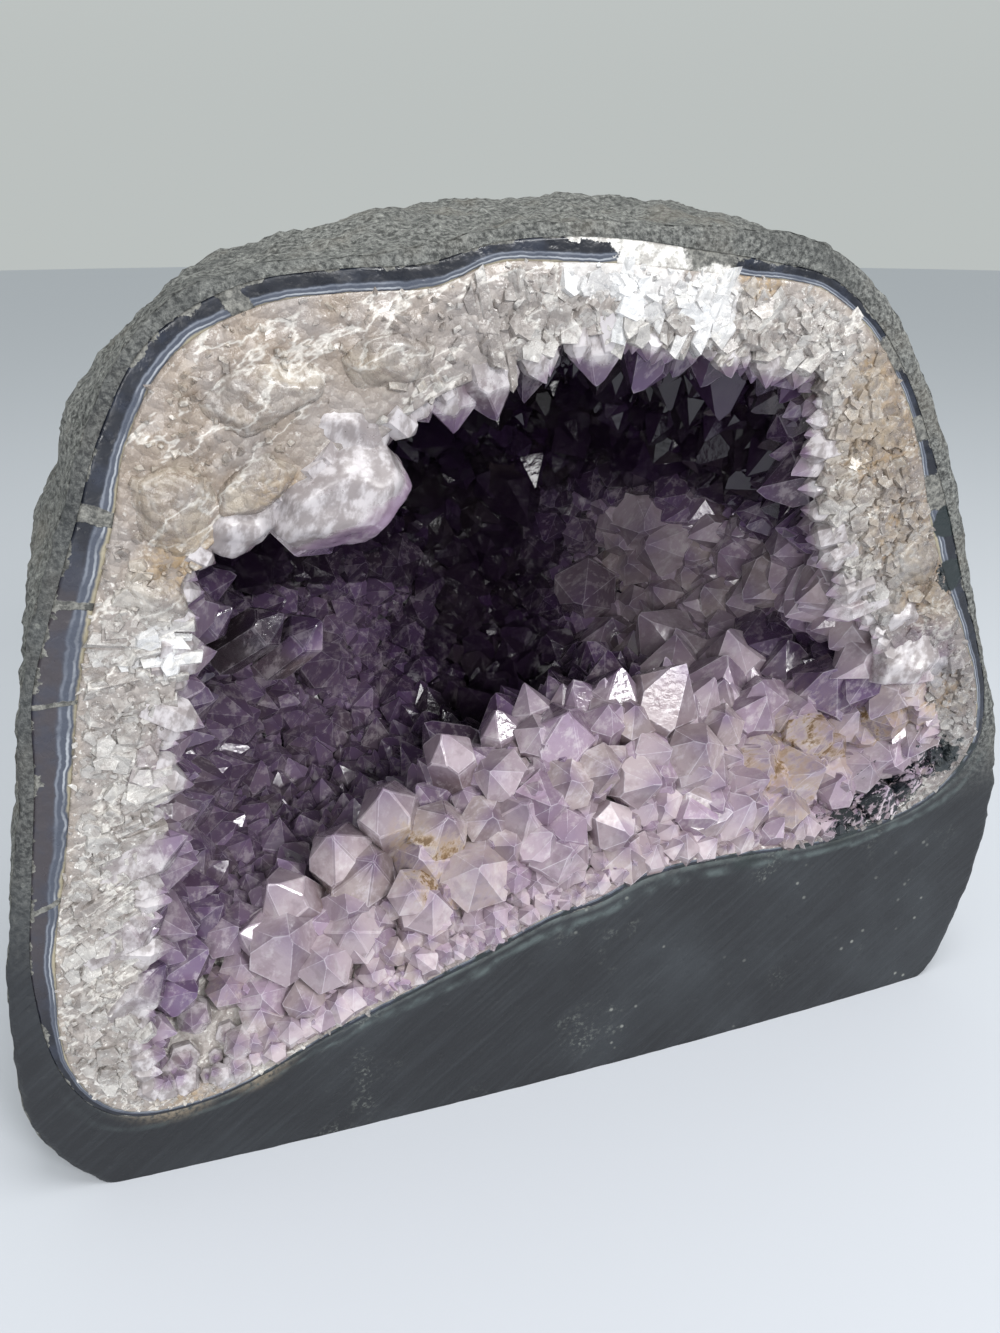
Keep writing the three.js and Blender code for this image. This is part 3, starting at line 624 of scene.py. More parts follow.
def lobe_shape(middle, half, rise, lilac, seed):
    """A mass of grown-together crystals: flat sides all round, with soft edges between them."""
    draw = random_from(seed)
    bm = bmesh.new()
    bmesh.ops.create_icosphere(bm, subdivisions=5, radius=1.0)
    out = np.array([vertex.co for vertex in bm.verts])
    height = 1 - 2 * (np.arange(LOBE_SIDES) + 0.5) / LOBE_SIDES
    turn = np.arange(LOBE_SIDES) * GOLDEN_ANGLE + 6 * draw()
    around = np.sqrt(1 - height**2)
    sides = np.stack([np.cos(turn) * around, np.sin(turn) * around, height], -1)
    sides += 0.25 * (np.array([draw() for _ in range(3 * LOBE_SIDES)]).reshape(-1, 3) - 0.5)
    away = 0.86 + 0.14 * np.array([draw() for _ in range(LOBE_SIDES)])
    facing = np.maximum(0, out @ sides.T) / away
    nearest = np.sort(facing, axis=1)
    points = out * half / (facing**LOBE_SHARPNESS).sum(axis=1)[:, None] ** (1 / LOBE_SHARPNESS)
    cosine, sine = math.cos(math.radians(rise)), math.sin(math.radians(rise))
    points = points @ np.array([(cosine, 0, sine), (0, 1, 0), (-sine, 0, cosine)]) + place(*middle)
    points += out * (0.45 * rough(points, 4, seed))[:, None]
    under = smooth(out @ np.array([0.25, 0, -0.97]), -0.1, 0.8) * lilac
    values = {
        "edge": 1 - (nearest[:, -1] - nearest[:, -2]) * 1.6,
        "facet": (facing.argmax(axis=1) * GOLDEN_SHARE) % 1,
        "reach": 0.5 + 0.6 * under,
        "shade": 0.42 - 0.42 * under,
    }
    layers = {key: bm.verts.layers.float.new(key) for key in values}
    for index, vertex in enumerate(bm.verts):
        vertex.co = points[index] * MM
        for key, layer in layers.items():
            vertex[layer] = values[key][index]
    return bm


def join(shapes, name):
    """One mesh of many bmeshes."""
    whole = bmesh.new()
    for shape in shapes:
        part = as_mesh(shape, "part")
        whole.from_mesh(part)
        bpy.data.meshes.remove(part)
    return as_mesh(whole, name)


# Nodes


def named_socket(sockets, key):
    """The socket that a keyword means, with spaces for its underscores."""
    wanted = key.replace("_", " ").lower()
    return next(socket for socket in sockets if socket.name.lower() == wanted)


class Number:
    """A socket in a sum. An expression on numbers adds its Math nodes."""

    def __init__(self, nodes, socket):
        self.nodes, self.socket = nodes, socket

    def math(self, operation, *values):
        return self.nodes.add("ShaderNodeMath", {"operation": operation}, *values).number(0)

    def __add__(self, other):
        return self.math("ADD", self, other)

    def __sub__(self, other):
        return self.math("SUBTRACT", self, other)

    def __rsub__(self, other):
        return self.math("SUBTRACT", other, self)

    def __mul__(self, other):
        return self.math("MULTIPLY", self, other)

    def __abs__(self):
        return self.math("ABSOLUTE", self)

    __radd__ = __add__
    __rmul__ = __mul__

    def clamp(self):
        node = self.nodes.add("ShaderNodeMath", {"operation": "ADD", "use_clamp": True}, self, 0.0)
        return node.number(0)

    def ramp(self, start, end, low=0.0, high=1.0):
        """A soft rise from low to high as this number goes from start to end."""
        settings = {"interpolation_type": "SMOOTHSTEP"}
        return self.nodes.add("ShaderNodeMapRange", settings, self, start, end, low, high).number("Result")


class Made:
    """A node that was added, and its outputs."""

    def __init__(self, nodes, node):
        self.nodes, self.node = nodes, node

    def out(self, name):
        shown = [socket for socket in self.node.outputs if socket.enabled]
        return shown[name] if isinstance(name, int) else next(s for s in shown if s.name == name)

    def number(self, name):
        return Number(self.nodes, self.out(name))


class Nodes:
    """A node tree that is filled by add()."""

    def __init__(self, tree):
        self.tree = tree

    def fill(self, socket, value):
        if isinstance(value, Number):
            value = value.socket
        if isinstance(value, bpy.types.NodeSocket):
            self.tree.links.new(value, socket)
        elif value is not None:
            socket.default_value = value

    def add(self, kind, settings=None, *values, **named):
        """Adds a node, makes its settings, then fills its sockets in order or by name."""
        node = self.tree.nodes.new(kind)
        for key, value in (settings or {}).items():
            setattr(node, key, value)
        shown = [socket for socket in node.inputs if socket.enabled]
        for socket, value in zip(shown, values):
            self.fill(socket, value)
        for key, value in named.items():
            self.fill(named_socket(shown, key), value)
        return Made(self, node)


class Finish(Nodes):
    """A material whose one Principled shader is fed by named patterns."""

    def __init__(self, name):
        self.material = bpy.data.materials.new(name)
        self.material.use_nodes = True
        super().__init__(self.material.node_tree)
        self.tree.nodes.clear()
        self.output = self.tree.nodes.new("ShaderNodeOutputMaterial")
        self.shader = self.tree.nodes.new("ShaderNodeBsdfPrincipled")
        self.tree.links.new(self.shader.outputs[0], self.output.inputs["Surface"])
        self.place = self.add("ShaderNodeTexCoord").out("Object")

    def value(self, name):
        """A number that the mesh carries."""
        return self.add("ShaderNodeAttribute", {"attribute_name": name}).number("Fac")

    def grain(self, size, detail=3.0, roughness=0.5, stretch=None):
        """Noise from 0 to 1 with grains of that size in metres. Stretch is how long and turned they are."""
        at = self.place
        if stretch:
            scale, turn = stretch
            turned = {"vector_type": "TEXTURE"}
            at = self.add("ShaderNodeMapping", turned, Vector=at, Rotation=turn, Scale=scale).out(0)
        noisy = self.add(
            "ShaderNodeTexNoise", None, Vector=at, Scale=1 / size, Detail=detail, Roughness=roughness
        )
        return noisy.number("Fac")

    def cells(self, size):
        """How far each place is from the middle of its random cell, in cells."""
        return self.add("ShaderNodeTexVoronoi", None, Vector=self.place, Scale=1 / size).number("Distance")

    def mix(self, share, a, b, kind="MIX"):
        return self.add("ShaderNodeMix", {"data_type": "RGBA", "blend_type": kind}, share, a, b).out(0)

    def bump(self, height, strength, distance):
        return self.add("ShaderNodeBump", None, Strength=strength, Distance=distance, Height=height).out(0)

    def set(self, **values):
        for key, value in values.items():
            self.fill(named_socket(self.shader.inputs, key), value)
        return self.material

    def clear(self, color, density):
        """Plain absorption inside the piece, the same all through."""
        volume = self.add("ShaderNodeVolumeAbsorption", None, Color=color, Density=density)
        self.tree.links.new(volume.out(0), self.output.inputs["Volume"])


# Finishes


def spots(places, points):
    """How strongly a few soft spots, each (x, depth, z, radius) in millimetres, reach each point."""
    reach = np.zeros(points.shape[:-1])
    for x, depth, z, radius in places:
        middle = place(x, depth, z)
        away = np.linalg.norm((points - middle) * (1, 0.5, 1), axis=-1)
        reach = np.maximum(reach, 1 - smooth(away / radius, 0.3, 1))
    return reach


def rim_shadow(points):
    """How much darker the rim quartz is painted: on the right, most of all low down, where it is painted
    shade, and a little where glassy.
    """
    dull = np.maximum(0.36 * smooth(points[..., 0], 45, 80), 0.12 * spots(GLASSY_PLACES, points))
    return np.maximum(dull, 0.5 * spots(SHADED_RIM_PLACES, points))


def basalt_finish(rock):
    """Dark fine rock: honed on the cut face, granular and dusty outside."""
    finish = Finish("basalt")
    face = finish.value("cut_face")
    fine = finish.grain(0.001, 4, 0.7)
    coarse = finish.grain(0.0045, 3, 0.6)
    cloud = finish.grain(0.035, 3, 0.5)
    dust = finish.grain(0.022, 3, 0.65)
    scratch = finish.grain(0.0011, 3, 0.6, stretch=((1, 1, 26), (0, math.radians(52), 0)))
    fleck = (1 - finish.cells(0.0052).ramp(0.05, 0.13)) * cloud.ramp(0.5, 0.6)
    outside = finish.mix(
        (coarse * 0.12 + fine * 0.88).ramp(0.37, 0.62), tuple(rock.outside_dark), tuple(rock.outside_pale)
    )
    outside = finish.mix(cloud.ramp(0.35, 0.7, 0.0, 0.3), outside, srgb(96, 98, 96))
    # Pale specks on the grains: partly pale sand grains, partly painted glints.
    outside = finish.mix(fine.ramp(0.6, 0.7, 0.0, 0.6), outside, srgb(190, 190, 184))
    outside = finish.mix(dust.ramp(0.5, 0.66, 0.0, 0.3), outside, srgb(134, 126, 114))
    outside = finish.mix(dust.ramp(0.46, 0.36, 0.0, 0.35), outside, srgb(58, 60, 60))
    honed = finish.mix(scratch.ramp(0.4, 0.75, 0.0, 0.6), tuple(rock.face_dark), tuple(rock.face_pale))
    honed = finish.mix(cloud.ramp(0.4, 0.75, 0.0, 0.4), honed, srgb(58, 63, 68))
    honed = finish.mix(fleck * 0.55, honed, srgb(150, 152, 146))
    honed = finish.mix(dust.ramp(0.56, 0.74) * fine.ramp(0.52, 0.62) * 0.4, honed, srgb(136, 140, 134))
    vein = finish.value("vein")
    vein_share = (vein * (0.35 + coarse.ramp(0.35, 0.6))).clamp()
    honed = finish.mix(vein_share * 0.45, honed, srgb(98, 110, 110))
    honed = finish.mix(finish.value("soot") * 0.8, honed, srgb(22, 32, 32))
    honed = finish.mix(finish.value("earth") * fine.ramp(0.3, 0.6), honed, srgb(128, 116, 100))
    color = finish.mix(face, outside, honed)
    height = fine * (1.7 - face * 1.6) + scratch * face * 0.25
    pits = (1 - finish.cells(0.0031).ramp(0.0, 0.35)) * (1 - face * 0.8)
    normal = finish.bump(height - pits * 0.5, 0.9, 0.0014)
    roughness = (0.82 - face * 0.3 + coarse * 0.12).clamp()
    return finish.set(Base_Color=color, Roughness=roughness, Normal=normal)


def agate_finish(agate):
    """Translucent bands: navy or smoky outside, a pale blue double line, then cream."""
    finish = Finish("agate")
    across = finish.value("across") + (finish.grain(0.01, 4) - 0.5) * 0.45
    across += (finish.grain(0.0022, 2) - 0.5) * 0.14
    dark = finish.mix(finish.value("smoky"), tuple(agate.dark), tuple(agate.smoky))
    dark = finish.mix(finish.grain(0.007, 4, 0.6).ramp(0.46, 0.66, 0.0, 0.45), dark, srgb(46, 52, 68))
    line_a = across.ramp(0.56, 0.61) - across.ramp(0.63, 0.68)
    line_b = across.ramp(0.76, 0.8) - across.ramp(0.82, 0.87)
    color = finish.mix(across.ramp(0.5, 0.64), dark, srgb(64, 69, 82))
    patchy = finish.grain(0.008, 3).ramp(0.36, 0.56, 0.25, 1.0)
    color = finish.mix(line_a.clamp() * 0.7 * patchy, color, srgb(120, 125, 136))
    color = finish.mix(line_b.clamp() * 0.9 * patchy, color, tuple(agate.line))
    color = finish.mix(across.ramp(0.88, 0.98), color, tuple(agate.cream))
    outer = 1 - (finish.value("across") + (finish.grain(0.0055, 4, 0.65) - 0.5) * 1.5).ramp(-0.02, 0.08)
    broken = finish.value("crossing") + outer * 0.8 + (finish.grain(0.003, 4, 0.7) - 0.5) * 1.4
    broken = broken.ramp(0.45, 0.55)
    grit = finish.mix(finish.grain(0.0014, 3, 0.7).ramp(0.35, 0.65), srgb(66, 66, 64), srgb(124, 123, 118))
    white = (finish.value("white") + (finish.grain(0.002, 3, 0.7) - 0.5) * 0.8).ramp(0.3, 0.5)
    chalky = finish.grain(0.0018, 3, 0.7).ramp(0.38, 0.6)
    chalk = finish.mix(chalky, srgb(170, 166, 162), srgb(226, 224, 220))
    color = finish.mix(broken, color, finish.mix(white, grit, chalk))
    soot = (finish.value("soot") + (finish.grain(0.003, 3) - 0.5) * 0.8).ramp(0.4, 0.55)
    color = finish.mix(soot, color, srgb(20, 30, 32))
    normal = finish.bump(finish.grain(0.002, 3) + broken * finish.grain(0.0012, 3) * 3, 0.5, 0.0006)
    roughness = (finish.grain(0.004, 2).ramp(0.2, 0.8, 0.2, 0.45) + broken * 0.3).clamp()
    return finish.set(
        Base_Color=color, Roughness=roughness, Normal=normal, Coat_Weight=(0.2 - broken * 0.2).clamp(),
        Coat_Roughness=0.12,
    )


def quartz_finish(name, quartz, clearness):
    """Rim quartz: glassy grey and milky grains with edges painted pale as highlights; beige, brown, white or
    lilac in places; darker deep in the hollow and where rim_shadow paints shade on the rim.
    """
    finish = Finish(name)
    shade = finish.value("shade")
    cloud = finish.grain(0.009, 4, 0.6)
    crumb = finish.grain(0.002, 4, 0.7)
    glassy = finish.value("glassy")
    milkiness = crumb * (0.5 - glassy * 0.3) + cloud * (0.5 + glassy * 0.3) + (shade - 0.5) * 0.16
    milkiness = (milkiness + (finish.value("facet") - 0.5) * 0.1 - glassy * 0.04).ramp(0.38, 0.6)
    color = finish.mix(milkiness, tuple(quartz.glassy), tuple(quartz.milky))
    warm = (finish.value("warm") * cloud.ramp(0.34, 0.6, 0.2, 0.9)).clamp()
    color = finish.mix(warm, color, tuple(quartz.beige), "MULTIPLY")
    lilac = (finish.value("lilac") * cloud.ramp(0.3, 0.6, 0.3, 1.0)).clamp()
    color = finish.mix(lilac, color, srgb(222, 206, 230), "MULTIPLY")
    white = (finish.value("white") + (cloud - 0.5) * 0.7).ramp(0.35, 0.6)
    color = finish.mix(white * (0.45 + shade * 0.5), color, srgb(230, 230, 232))
    crack = finish.grain(0.012, 5, 0.6, stretch=((1, 1, 2.5), (0, 1.1, 0)))
    crack = 1 - abs(crack - 0.5).ramp(0.0, 0.022)
    color = finish.mix(crack * 0.6, color, srgb(228, 224, 218))
    fleck = finish.grain(0.0011, 2, 0.6).ramp(0.62, 0.7) * (0.6 - glassy * 0.35)
    color = finish.mix(fleck, color, srgb(238, 236, 232))
    stain = (finish.value("stain") * crumb.ramp(0.4, 0.58, 0.1, 0.8)).clamp()
    color = finish.mix(stain, color, tuple(quartz.stain))
    # Painted highlight: the edges of chunks, splinters and masses are painted pale.
    edge = finish.value("edge").ramp(0.9, 0.99, 0.0, 0.2) * crumb.ramp(0.42, 0.6)
    color = finish.mix(edge, color, srgb(244, 242, 240))
    # Near black deep in the hollow, partly painted shade, and darker on the rim where rim_shadow paints
    # shade.
    color = finish.mix((finish.value("deep") * 0.95).clamp(), color, srgb(40, 30, 46))
    soot = (finish.value("soot") + (crumb - 0.5) * 2.2).ramp(0.55, 0.75)
    color = finish.mix(soot, color, srgb(22, 30, 34))
    normal = finish.bump(crumb * 0.7 - finish.cells(0.0022), 0.8, 0.0009)
    return finish.set(
        Base_Color=color, Roughness=crumb.ramp(0.3, 0.7, 0.1, 0.5), Normal=normal, IOR=QUARTZ_IOR,
        Transmission_Weight=clearness, Coat_Weight=0.3, Coat_Roughness=0.05,
    )


def amethyst_finish(name, amethyst, clearness, absorb):
    """Clear crystal: a greyer foot, partly painted shade where the crystals meet, a lilac body with veils and
    a purple tip, darker deep inside, partly painted shade; painted highlights on the edges and painted light
    on the faces.
    """
    finish = Finish(name)
    reach, tint, shade = finish.value("reach"), finish.value("tint"), finish.value("shade")
    cloud = finish.grain(0.005, 4, 0.6)
    veil = finish.grain(0.0028, 4, 0.65, stretch=((1, 1, 2.2), (0.5, 0.3, 0)))
    thread = finish.grain(0.0012, 3, 0.7, stretch=((1, 1, 3), (0.4, 0.5, 0)))
    body = finish.mix(tint.ramp(0.05, 0.6), tuple(amethyst.pale), tuple(amethyst.middle))
    body = finish.mix(tint.ramp(0.4, 1.0), body, tuple(amethyst.deep))
    # The foot is greyer and darker than the body: partly the milky root, partly painted shade in the crevices
    # where crystals meet.
    foot = finish.mix(tint.ramp(0.1, 0.7), srgb(170, 150, 150), srgb(84, 72, 80))
    color = finish.mix((reach + (cloud - 0.5) * 0.5).ramp(0.3, 0.65), foot, body)
    grey = finish.mix(tint.ramp(0.1, 0.7), srgb(174, 160, 150), srgb(46, 40, 42))
    color = finish.mix(shade.ramp(0.5, 1.0, 0.0, 0.6), color, grey)
    violet = finish.mix(tint.ramp(0.1, 0.7), srgb(170, 142, 174), srgb(58, 38, 70))
    color = finish.mix(1 - shade.ramp(0.0, 0.35, 0.35, 1.0), color, violet)
    milk = (veil * 0.75 + thread * 0.25).ramp(0.48, 0.62) * (0.8 - tint * 0.78)
    color = finish.mix(milk.clamp(), color, srgb(232, 222, 226))
    murk = cloud.ramp(0.52, 0.36) * (0.35 - tint * 0.35)
    color = finish.mix(murk.clamp(), color, srgb(126, 100, 114))
    tip = (reach + (cloud - 0.5) * 0.35).ramp(0.74, 1.05) * (0.2 + shade * 0.5)
    color = finish.mix(tip.clamp(), color, finish.mix(tint, tuple(amethyst.tip), tuple(amethyst.deep)))
    # Painted light: each face is darkened by its own random amount, standing in for the crystal's inner
    # reflections.
    facet = finish.value("facet").ramp(0.0, 1.0, 0.0, 0.65)
    color = finish.mix(facet, color, srgb(156, 146, 156), "MULTIPLY")
    # Painted highlight: the crystals' edges are painted pale.
    edge = finish.value("edge").ramp(0.93, 1.0) * veil.ramp(0.36, 0.52) * (0.6 - tint * 0.6)
    color = finish.mix(edge.clamp(), color, srgb(240, 232, 242))
    front = finish.value("front") * (1.1 - (reach - 0.6).ramp(0.0, 0.5)) + (cloud - 0.5) * 0.9
    front = front.ramp(0.35, 0.75)
    rind = finish.mix(veil.ramp(0.4, 0.6), srgb(160, 151, 152), srgb(216, 210, 213))
    color = finish.mix(front, color, rind)
    low = finish.value("stain") * (cloud * 0.5 + thread * 0.5).ramp(0.4, 0.55)
    low *= reach.ramp(0.75, 1.0, 1.0, 0.35)
    color = finish.mix((low * 0.6).clamp(), color, srgb(218, 206, 188))
    rust = low * (cloud * 0.6 + thread * 0.4).ramp(0.44, 0.6)
    color = finish.mix((rust * 0.85).clamp(), color, tuple(amethyst.stain))
    color = finish.mix(rust.ramp(0.5, 0.95) * thread.ramp(0.38, 0.58) * 0.7, color, srgb(104, 78, 52))
    soot = (finish.value("soot") + (thread - 0.5) * 2.4).ramp(0.6, 0.85)
    color = finish.mix(soot, color, srgb(24, 30, 36))
    normal = finish.bump(finish.grain(0.0014, 3), 0.2, 0.0005)
    finish.clear(srgb(186, 164, 196), absorb)
    roughness = (cloud.ramp(0.35, 0.75, 0.07, 0.25) + front * 0.2).clamp()
    return finish.set(
        Base_Color=color, Roughness=roughness, Normal=normal, IOR=QUARTZ_IOR, Transmission_Weight=clearness,
    )


# Crystals that grow on a surface, by Geometry Nodes


def growing_tree():
    """Crystals scattered over a surface: they follow its "grow" direction and its "size"."""
    tree = bpy.data.node_groups.new("grow_crystals", "GeometryNodeTree")
    sockets = {
        "Surface": "Geometry", "Crystals": "Collection", "Where": "String", "Spacing": "Float",
        "Smallest": "Float", "Largest": "Float", "Shortest": "Float", "Longest": "Float", "Lean": "Float",
        "Seed": "Int", "Material": "Material",
    }
    for name, kind in sockets.items():
        tree.interface.new_socket(name, in_out="INPUT", socket_type="NodeSocket" + kind)
    tree.interface.new_socket("Grown", in_out="OUTPUT", socket_type="NodeSocketGeometry")
    nodes = Nodes(tree)
    given = nodes.add("NodeGroupInput")
    seed = given.number("Seed")

    def carried(name, kind="FLOAT"):
        return nodes.add("GeometryNodeInputNamedAttribute", {"data_type": kind}, Name=name).out(0)

    def any_of(low, high, step, kind="FLOAT"):
        """A random value for each crystal. Each step draws on a seed of its own."""
        return nodes.add("FunctionNodeRandomValue", {"data_type": kind}, Min=low, Max=high, Seed=seed + step)

    def kept(geometry, name, value, kind="FLOAT"):
        settings = {"data_type": kind, "domain": "INSTANCE"}
        return nodes.add(
            "GeometryNodeStoreNamedAttribute", settings, Geometry=geometry.out(0), Name=name, Value=value
        )

    points = nodes.add(
        "GeometryNodeDistributePointsOnFaces", {"distribute_method": "POISSON"}, Mesh=given.out("Surface"),
        Distance_Min=given.out("Spacing"), Density_Max=MOST_PER_SQUARE_METRE,
        Density_Factor=carried(given.out("Where")), Seed=given.out("Seed"),
    )
    lean = any_of((-1, -1, -1), (1, 1, 1), 1, "FLOAT_VECTOR").out(0)
    leaning = nodes.add("ShaderNodeVectorMath", {"operation": "SCALE"}, lean, Scale=given.out("Lean"))
    grow_way = carried("grow", "FLOAT_VECTOR")
    toward = nodes.add("ShaderNodeVectorMath", {"operation": "ADD"}, grow_way, leaning.out(0))
    aimed = nodes.add("FunctionNodeAlignRotationToVector", {"axis": "Z"}, Vector=toward.out(0))
    angle = any_of(0.0, FULL_TURN, 2).out(0)
    about = nodes.add("FunctionNodeAxisAngleToRotation", None, Axis=(0, 0, 1), Angle=angle)
    turned = nodes.add(
        "FunctionNodeRotateRotation", {"rotation_space": "LOCAL"}, Rotation=aimed.out(0),
        Rotate_By=about.out(0),
    )
    size = Number(nodes, carried("size"))
    width = any_of(given.out("Smallest"), given.out("Largest"), 3).number(0) * size
    length = any_of(given.out("Shortest"), given.out("Longest"), 4).number(0) * width
    crystals = nodes.add(
        "GeometryNodeCollectionInfo", None, Collection=given.out("Crystals"), Separate_Children=True,
        Reset_Children=True,
    )
    grown = nodes.add(
        "GeometryNodeInstanceOnPoints", None, Points=points.out("Points"), Instance=crystals.out(0),
        Pick_Instance=True, Rotation=turned.out(0),
        Scale=nodes.add("ShaderNodeCombineXYZ", None, width, width, length).out(0),
    )
    toned = kept(grown, "shade", any_of(0.0, 1.0, 5).out(0))
    counted = kept(toned, "crystal", nodes.add("GeometryNodeInputIndex").out(0), "INT")
    real = nodes.add("GeometryNodeRealizeInstances", None, Geometry=counted.out(0))
    done = nodes.add("GeometryNodeSetMaterial", None, Geometry=real.out(0), Material=given.out("Material"))
    nodes.add("NodeGroupOutput", None, done.out(0))
    return tree


def crystal_kinds(count, seed, length):
    """A hidden collection of crystals one unit wide for the tree to pick from, foot below 0, tip above."""
    kinds = bpy.data.collections.new("crystal_kinds")
    draw = random_from(seed)
    for index in range(count):
        corners = [Vector(corner) for corner in crystal_corners(1.0, length, draw)]
        mesh = as_mesh(crystal_shape(corners, draw), "kind")
        heights = np.array([vertex.co.z for vertex in mesh.vertices])
        store(mesh, "reach", (heights - heights.min()) / (heights.max() - heights.min()))
        for vertex in mesh.vertices:
            vertex.co.z += length * STANDING_SHARE
        kinds.objects.link(bpy.data.objects.new(f"kind_{index}", mesh))
    return kinds


def chunk_kinds(count, seed, height, slant, sides=5):
    """A hidden collection of broken chunks one unit wide, with a flat slanting end toward +Z."""
    kinds = bpy.data.collections.new("chunk_kinds")
    draw = random_from(seed)
    for index in range(count):
        corners = []
        lean_x, lean_y = slant * (2 * draw() - 1), slant * (2 * draw() - 1)
        for end, radius in ((0.5, 0.38), (-0.5, 0.5)):
            for side in range(sides):
                angle = (side + 0.7 * draw()) * 2 * math.pi / sides
                out = radius * (0.8 + 0.4 * draw())
                x, y = out * math.cos(angle), out * math.sin(angle)
                corners.append(Vector((x, y, end * height + 2 * end * (lean_x * x + lean_y * y))))
        mesh = as_mesh(crystal_shape(corners, draw), "chunk")
        kinds.objects.link(bpy.data.objects.new(f"chunk_{index}", mesh))
    return kinds


def grow(name, surface, kinds, material, slot, **sizes):
    """Runs the tree on a surface and keeps the result as a plain piece."""
    carrier = bpy.data.objects.new(name + "_surface", surface)
    bpy.context.scene.collection.objects.link(carrier)
    modifier = carrier.modifiers.new("grow", "NODES")
    tree = bpy.data.node_groups.get("grow_crystals") or growing_tree()
    modifier.node_group = tree
    sockets = {item.name: item.identifier for item in tree.interface.items_tree if item.in_out == "INPUT"}
    for key, value in dict(sizes, Crystals=kinds, Material=material).items():
        modifier[sockets[key]] = value
    graph = bpy.context.evaluated_depsgraph_get()
    mesh = bpy.data.meshes.new_from_object(carrier.evaluated_get(graph), depsgraph=graph)
    carrier.modifiers.remove(modifier)
    bpy.data.objects.remove(carrier)
    if not mesh.polygons:
        raise RuntimeError(f"nothing grew for {name}")
    mesh.name = name
    return finish_piece(mesh, name, material)


def drop_kinds(kinds):
    for kind in list(kinds.objects):
        mesh = kind.data
        bpy.data.objects.remove(kind)
        bpy.data.meshes.remove(mesh)
    bpy.data.collections.remove(kinds)


def surface_mesh(name, points, grow_toward, values):
    """An open mesh of the growing surface with its growing directions and other values."""
    quads = ring_quads(*points.shape[:2])
    mesh = bpy.data.meshes.new(name)
    mesh.from_pydata((points.reshape(-1, 3) * MM).tolist(), [], quads.tolist())
    toward = grow_toward / np.maximum(1e-9, np.linalg.norm(grow_toward, axis=-1, keepdims=True))
    mesh.attributes.new("grow", "FLOAT_VECTOR", "POINT").data.foreach_set(
        "vector", toward.reshape(-1).astype(np.float32)
    )
    for key, value in values.items():
        store(mesh, key, np.broadcast_to(value, points.shape[:2]))
    return mesh


def inward(points):
    """Unit normals of a grid of bed points, turned toward the hollow's middle."""
    around = np.roll(points, -1, axis=1) - np.roll(points, 1, axis=1)
    back = np.gradient(points, axis=0)
    normal = np.cross(around, back)
    normal /= np.maximum(1e-9, np.linalg.norm(normal, axis=-1, keepdims=True))
    inward_share = np.sum(normal * (on_ring(0, 0, 45) - points), axis=-1).mean()
    return normal if inward_share > 0 else -normal


def bed_values(points):
    """What the crystals of the bed take from their place: colour, size and where each kind grows."""
    x, depth, z = points[..., 0], points[..., 1] + BODY_DEPTH / 2 - SHIFT[1], points[..., 2]
    left_slope = (1 - smooth(x, -35, 5)) * (1 - smooth(z, 88, 112)) * smooth(depth, 10, 26)
    floor = (1 - smooth(z, 84, 104)) * (1 - smooth(depth, 22, 40)) * (1 - left_slope) * smooth(x, -84, -68)
    roof = smooth(z, 118, 146) * smooth(depth, 7, 20)
    right = smooth(x, 20, 52) * (1 - smooth(z, 112, 136))
    deep = smooth(depth, 5, 52)
    # Tint grows toward the back and is full under the roof: a deeper purple, partly painted shade of the
    # hollow.
    tint = 0.34 + 0.66 * deep
    tint = blend(tint, 0.08 + 0.1 * deep, right * 0.94)
    tint = blend(tint, 0.43, left_slope * 0.9)
    tint = blend(tint, 0.12 + 0.2 * deep + 0.07 * smooth(x, 20, 60), floor)
    tint = blend(tint, 1, roof) * (1 - 0.7 * spots(PALE_PLACES, points))
    tint = blend(tint, 0.62, spots(DUSKY_PLACES, points))
    # Painted shade: the valley behind the floor ridge is painted darker.
    tint = blend(tint, 0.85, spots(SHADED_VALLEY_PLACES, points))
    size = blend(1.0, 0.9, left_slope)
    size = blend(size, 1.1, np.maximum(floor * 0.6, right))
    size = blend(size, 0.8, smooth(z, 118, 146) * (1 - right))
    inside = np.maximum(floor * smooth(depth, 2, 7), smooth(depth, 7, 14))
    mouth = 1 - smooth(depth, 1, 7)
    front = np.maximum(mouth * (1 - 0.7 * floor), 0.8 * spots(GRITTY_PLACES, points))
    return {
        "tint": tint, "size": size, "deep": deep, "front": front, "soot": spots(SOOT_PLACES, points),
        "stain": np.clip(1.6 * spots(FLOOR_STAINS, points), 0, 1),
        "fine": np.clip(0.3 + 0.5 * left_slope + mouth, 0, 1), "middle": inside,
        "large": inside * np.clip(0.7 - 0.55 * left_slope + 0.3 * floor, 0, 1),
        "sugar": floor * (1 - smooth(depth, 4, 9)),
    }


# Settings


def tone(name, description, color):
    return bpy.props.FloatVectorProperty(
        name=name, description=description, subtype="COLOR", size=4, min=0, max=1, default=srgb(*color)
    )


def length(name, description, default):
    return bpy.props.FloatProperty(
        name=name, description=description, default=default, unit="LENGTH", precision=4
    )


class GeodeRockSettings(bpy.types.PropertyGroup):
    grain_height: length("Grain height", "How far the grains of the rock stand out", 0.0007)
    lump_height: length("Small lumps", "How far the small lumps of the rock stand out", 0.0012)
    edge_wear: length("Edge wear", "How far the sharp edge of the cut face is worn back", 0.0012)
    outside_dark: tone("Outside, dark", "Colour in the hollows of the rough outside", (60, 61, 60))
    outside_pale: tone("Outside, pale", "Colour of the dusty grains outside", (150, 151, 147))
    face_dark: tone("Cut face, dark", "Colour of the honed rock", (23, 25, 30))
    face_pale: tone("Cut face, pale", "Colour of the saw marks", (40, 43, 48))


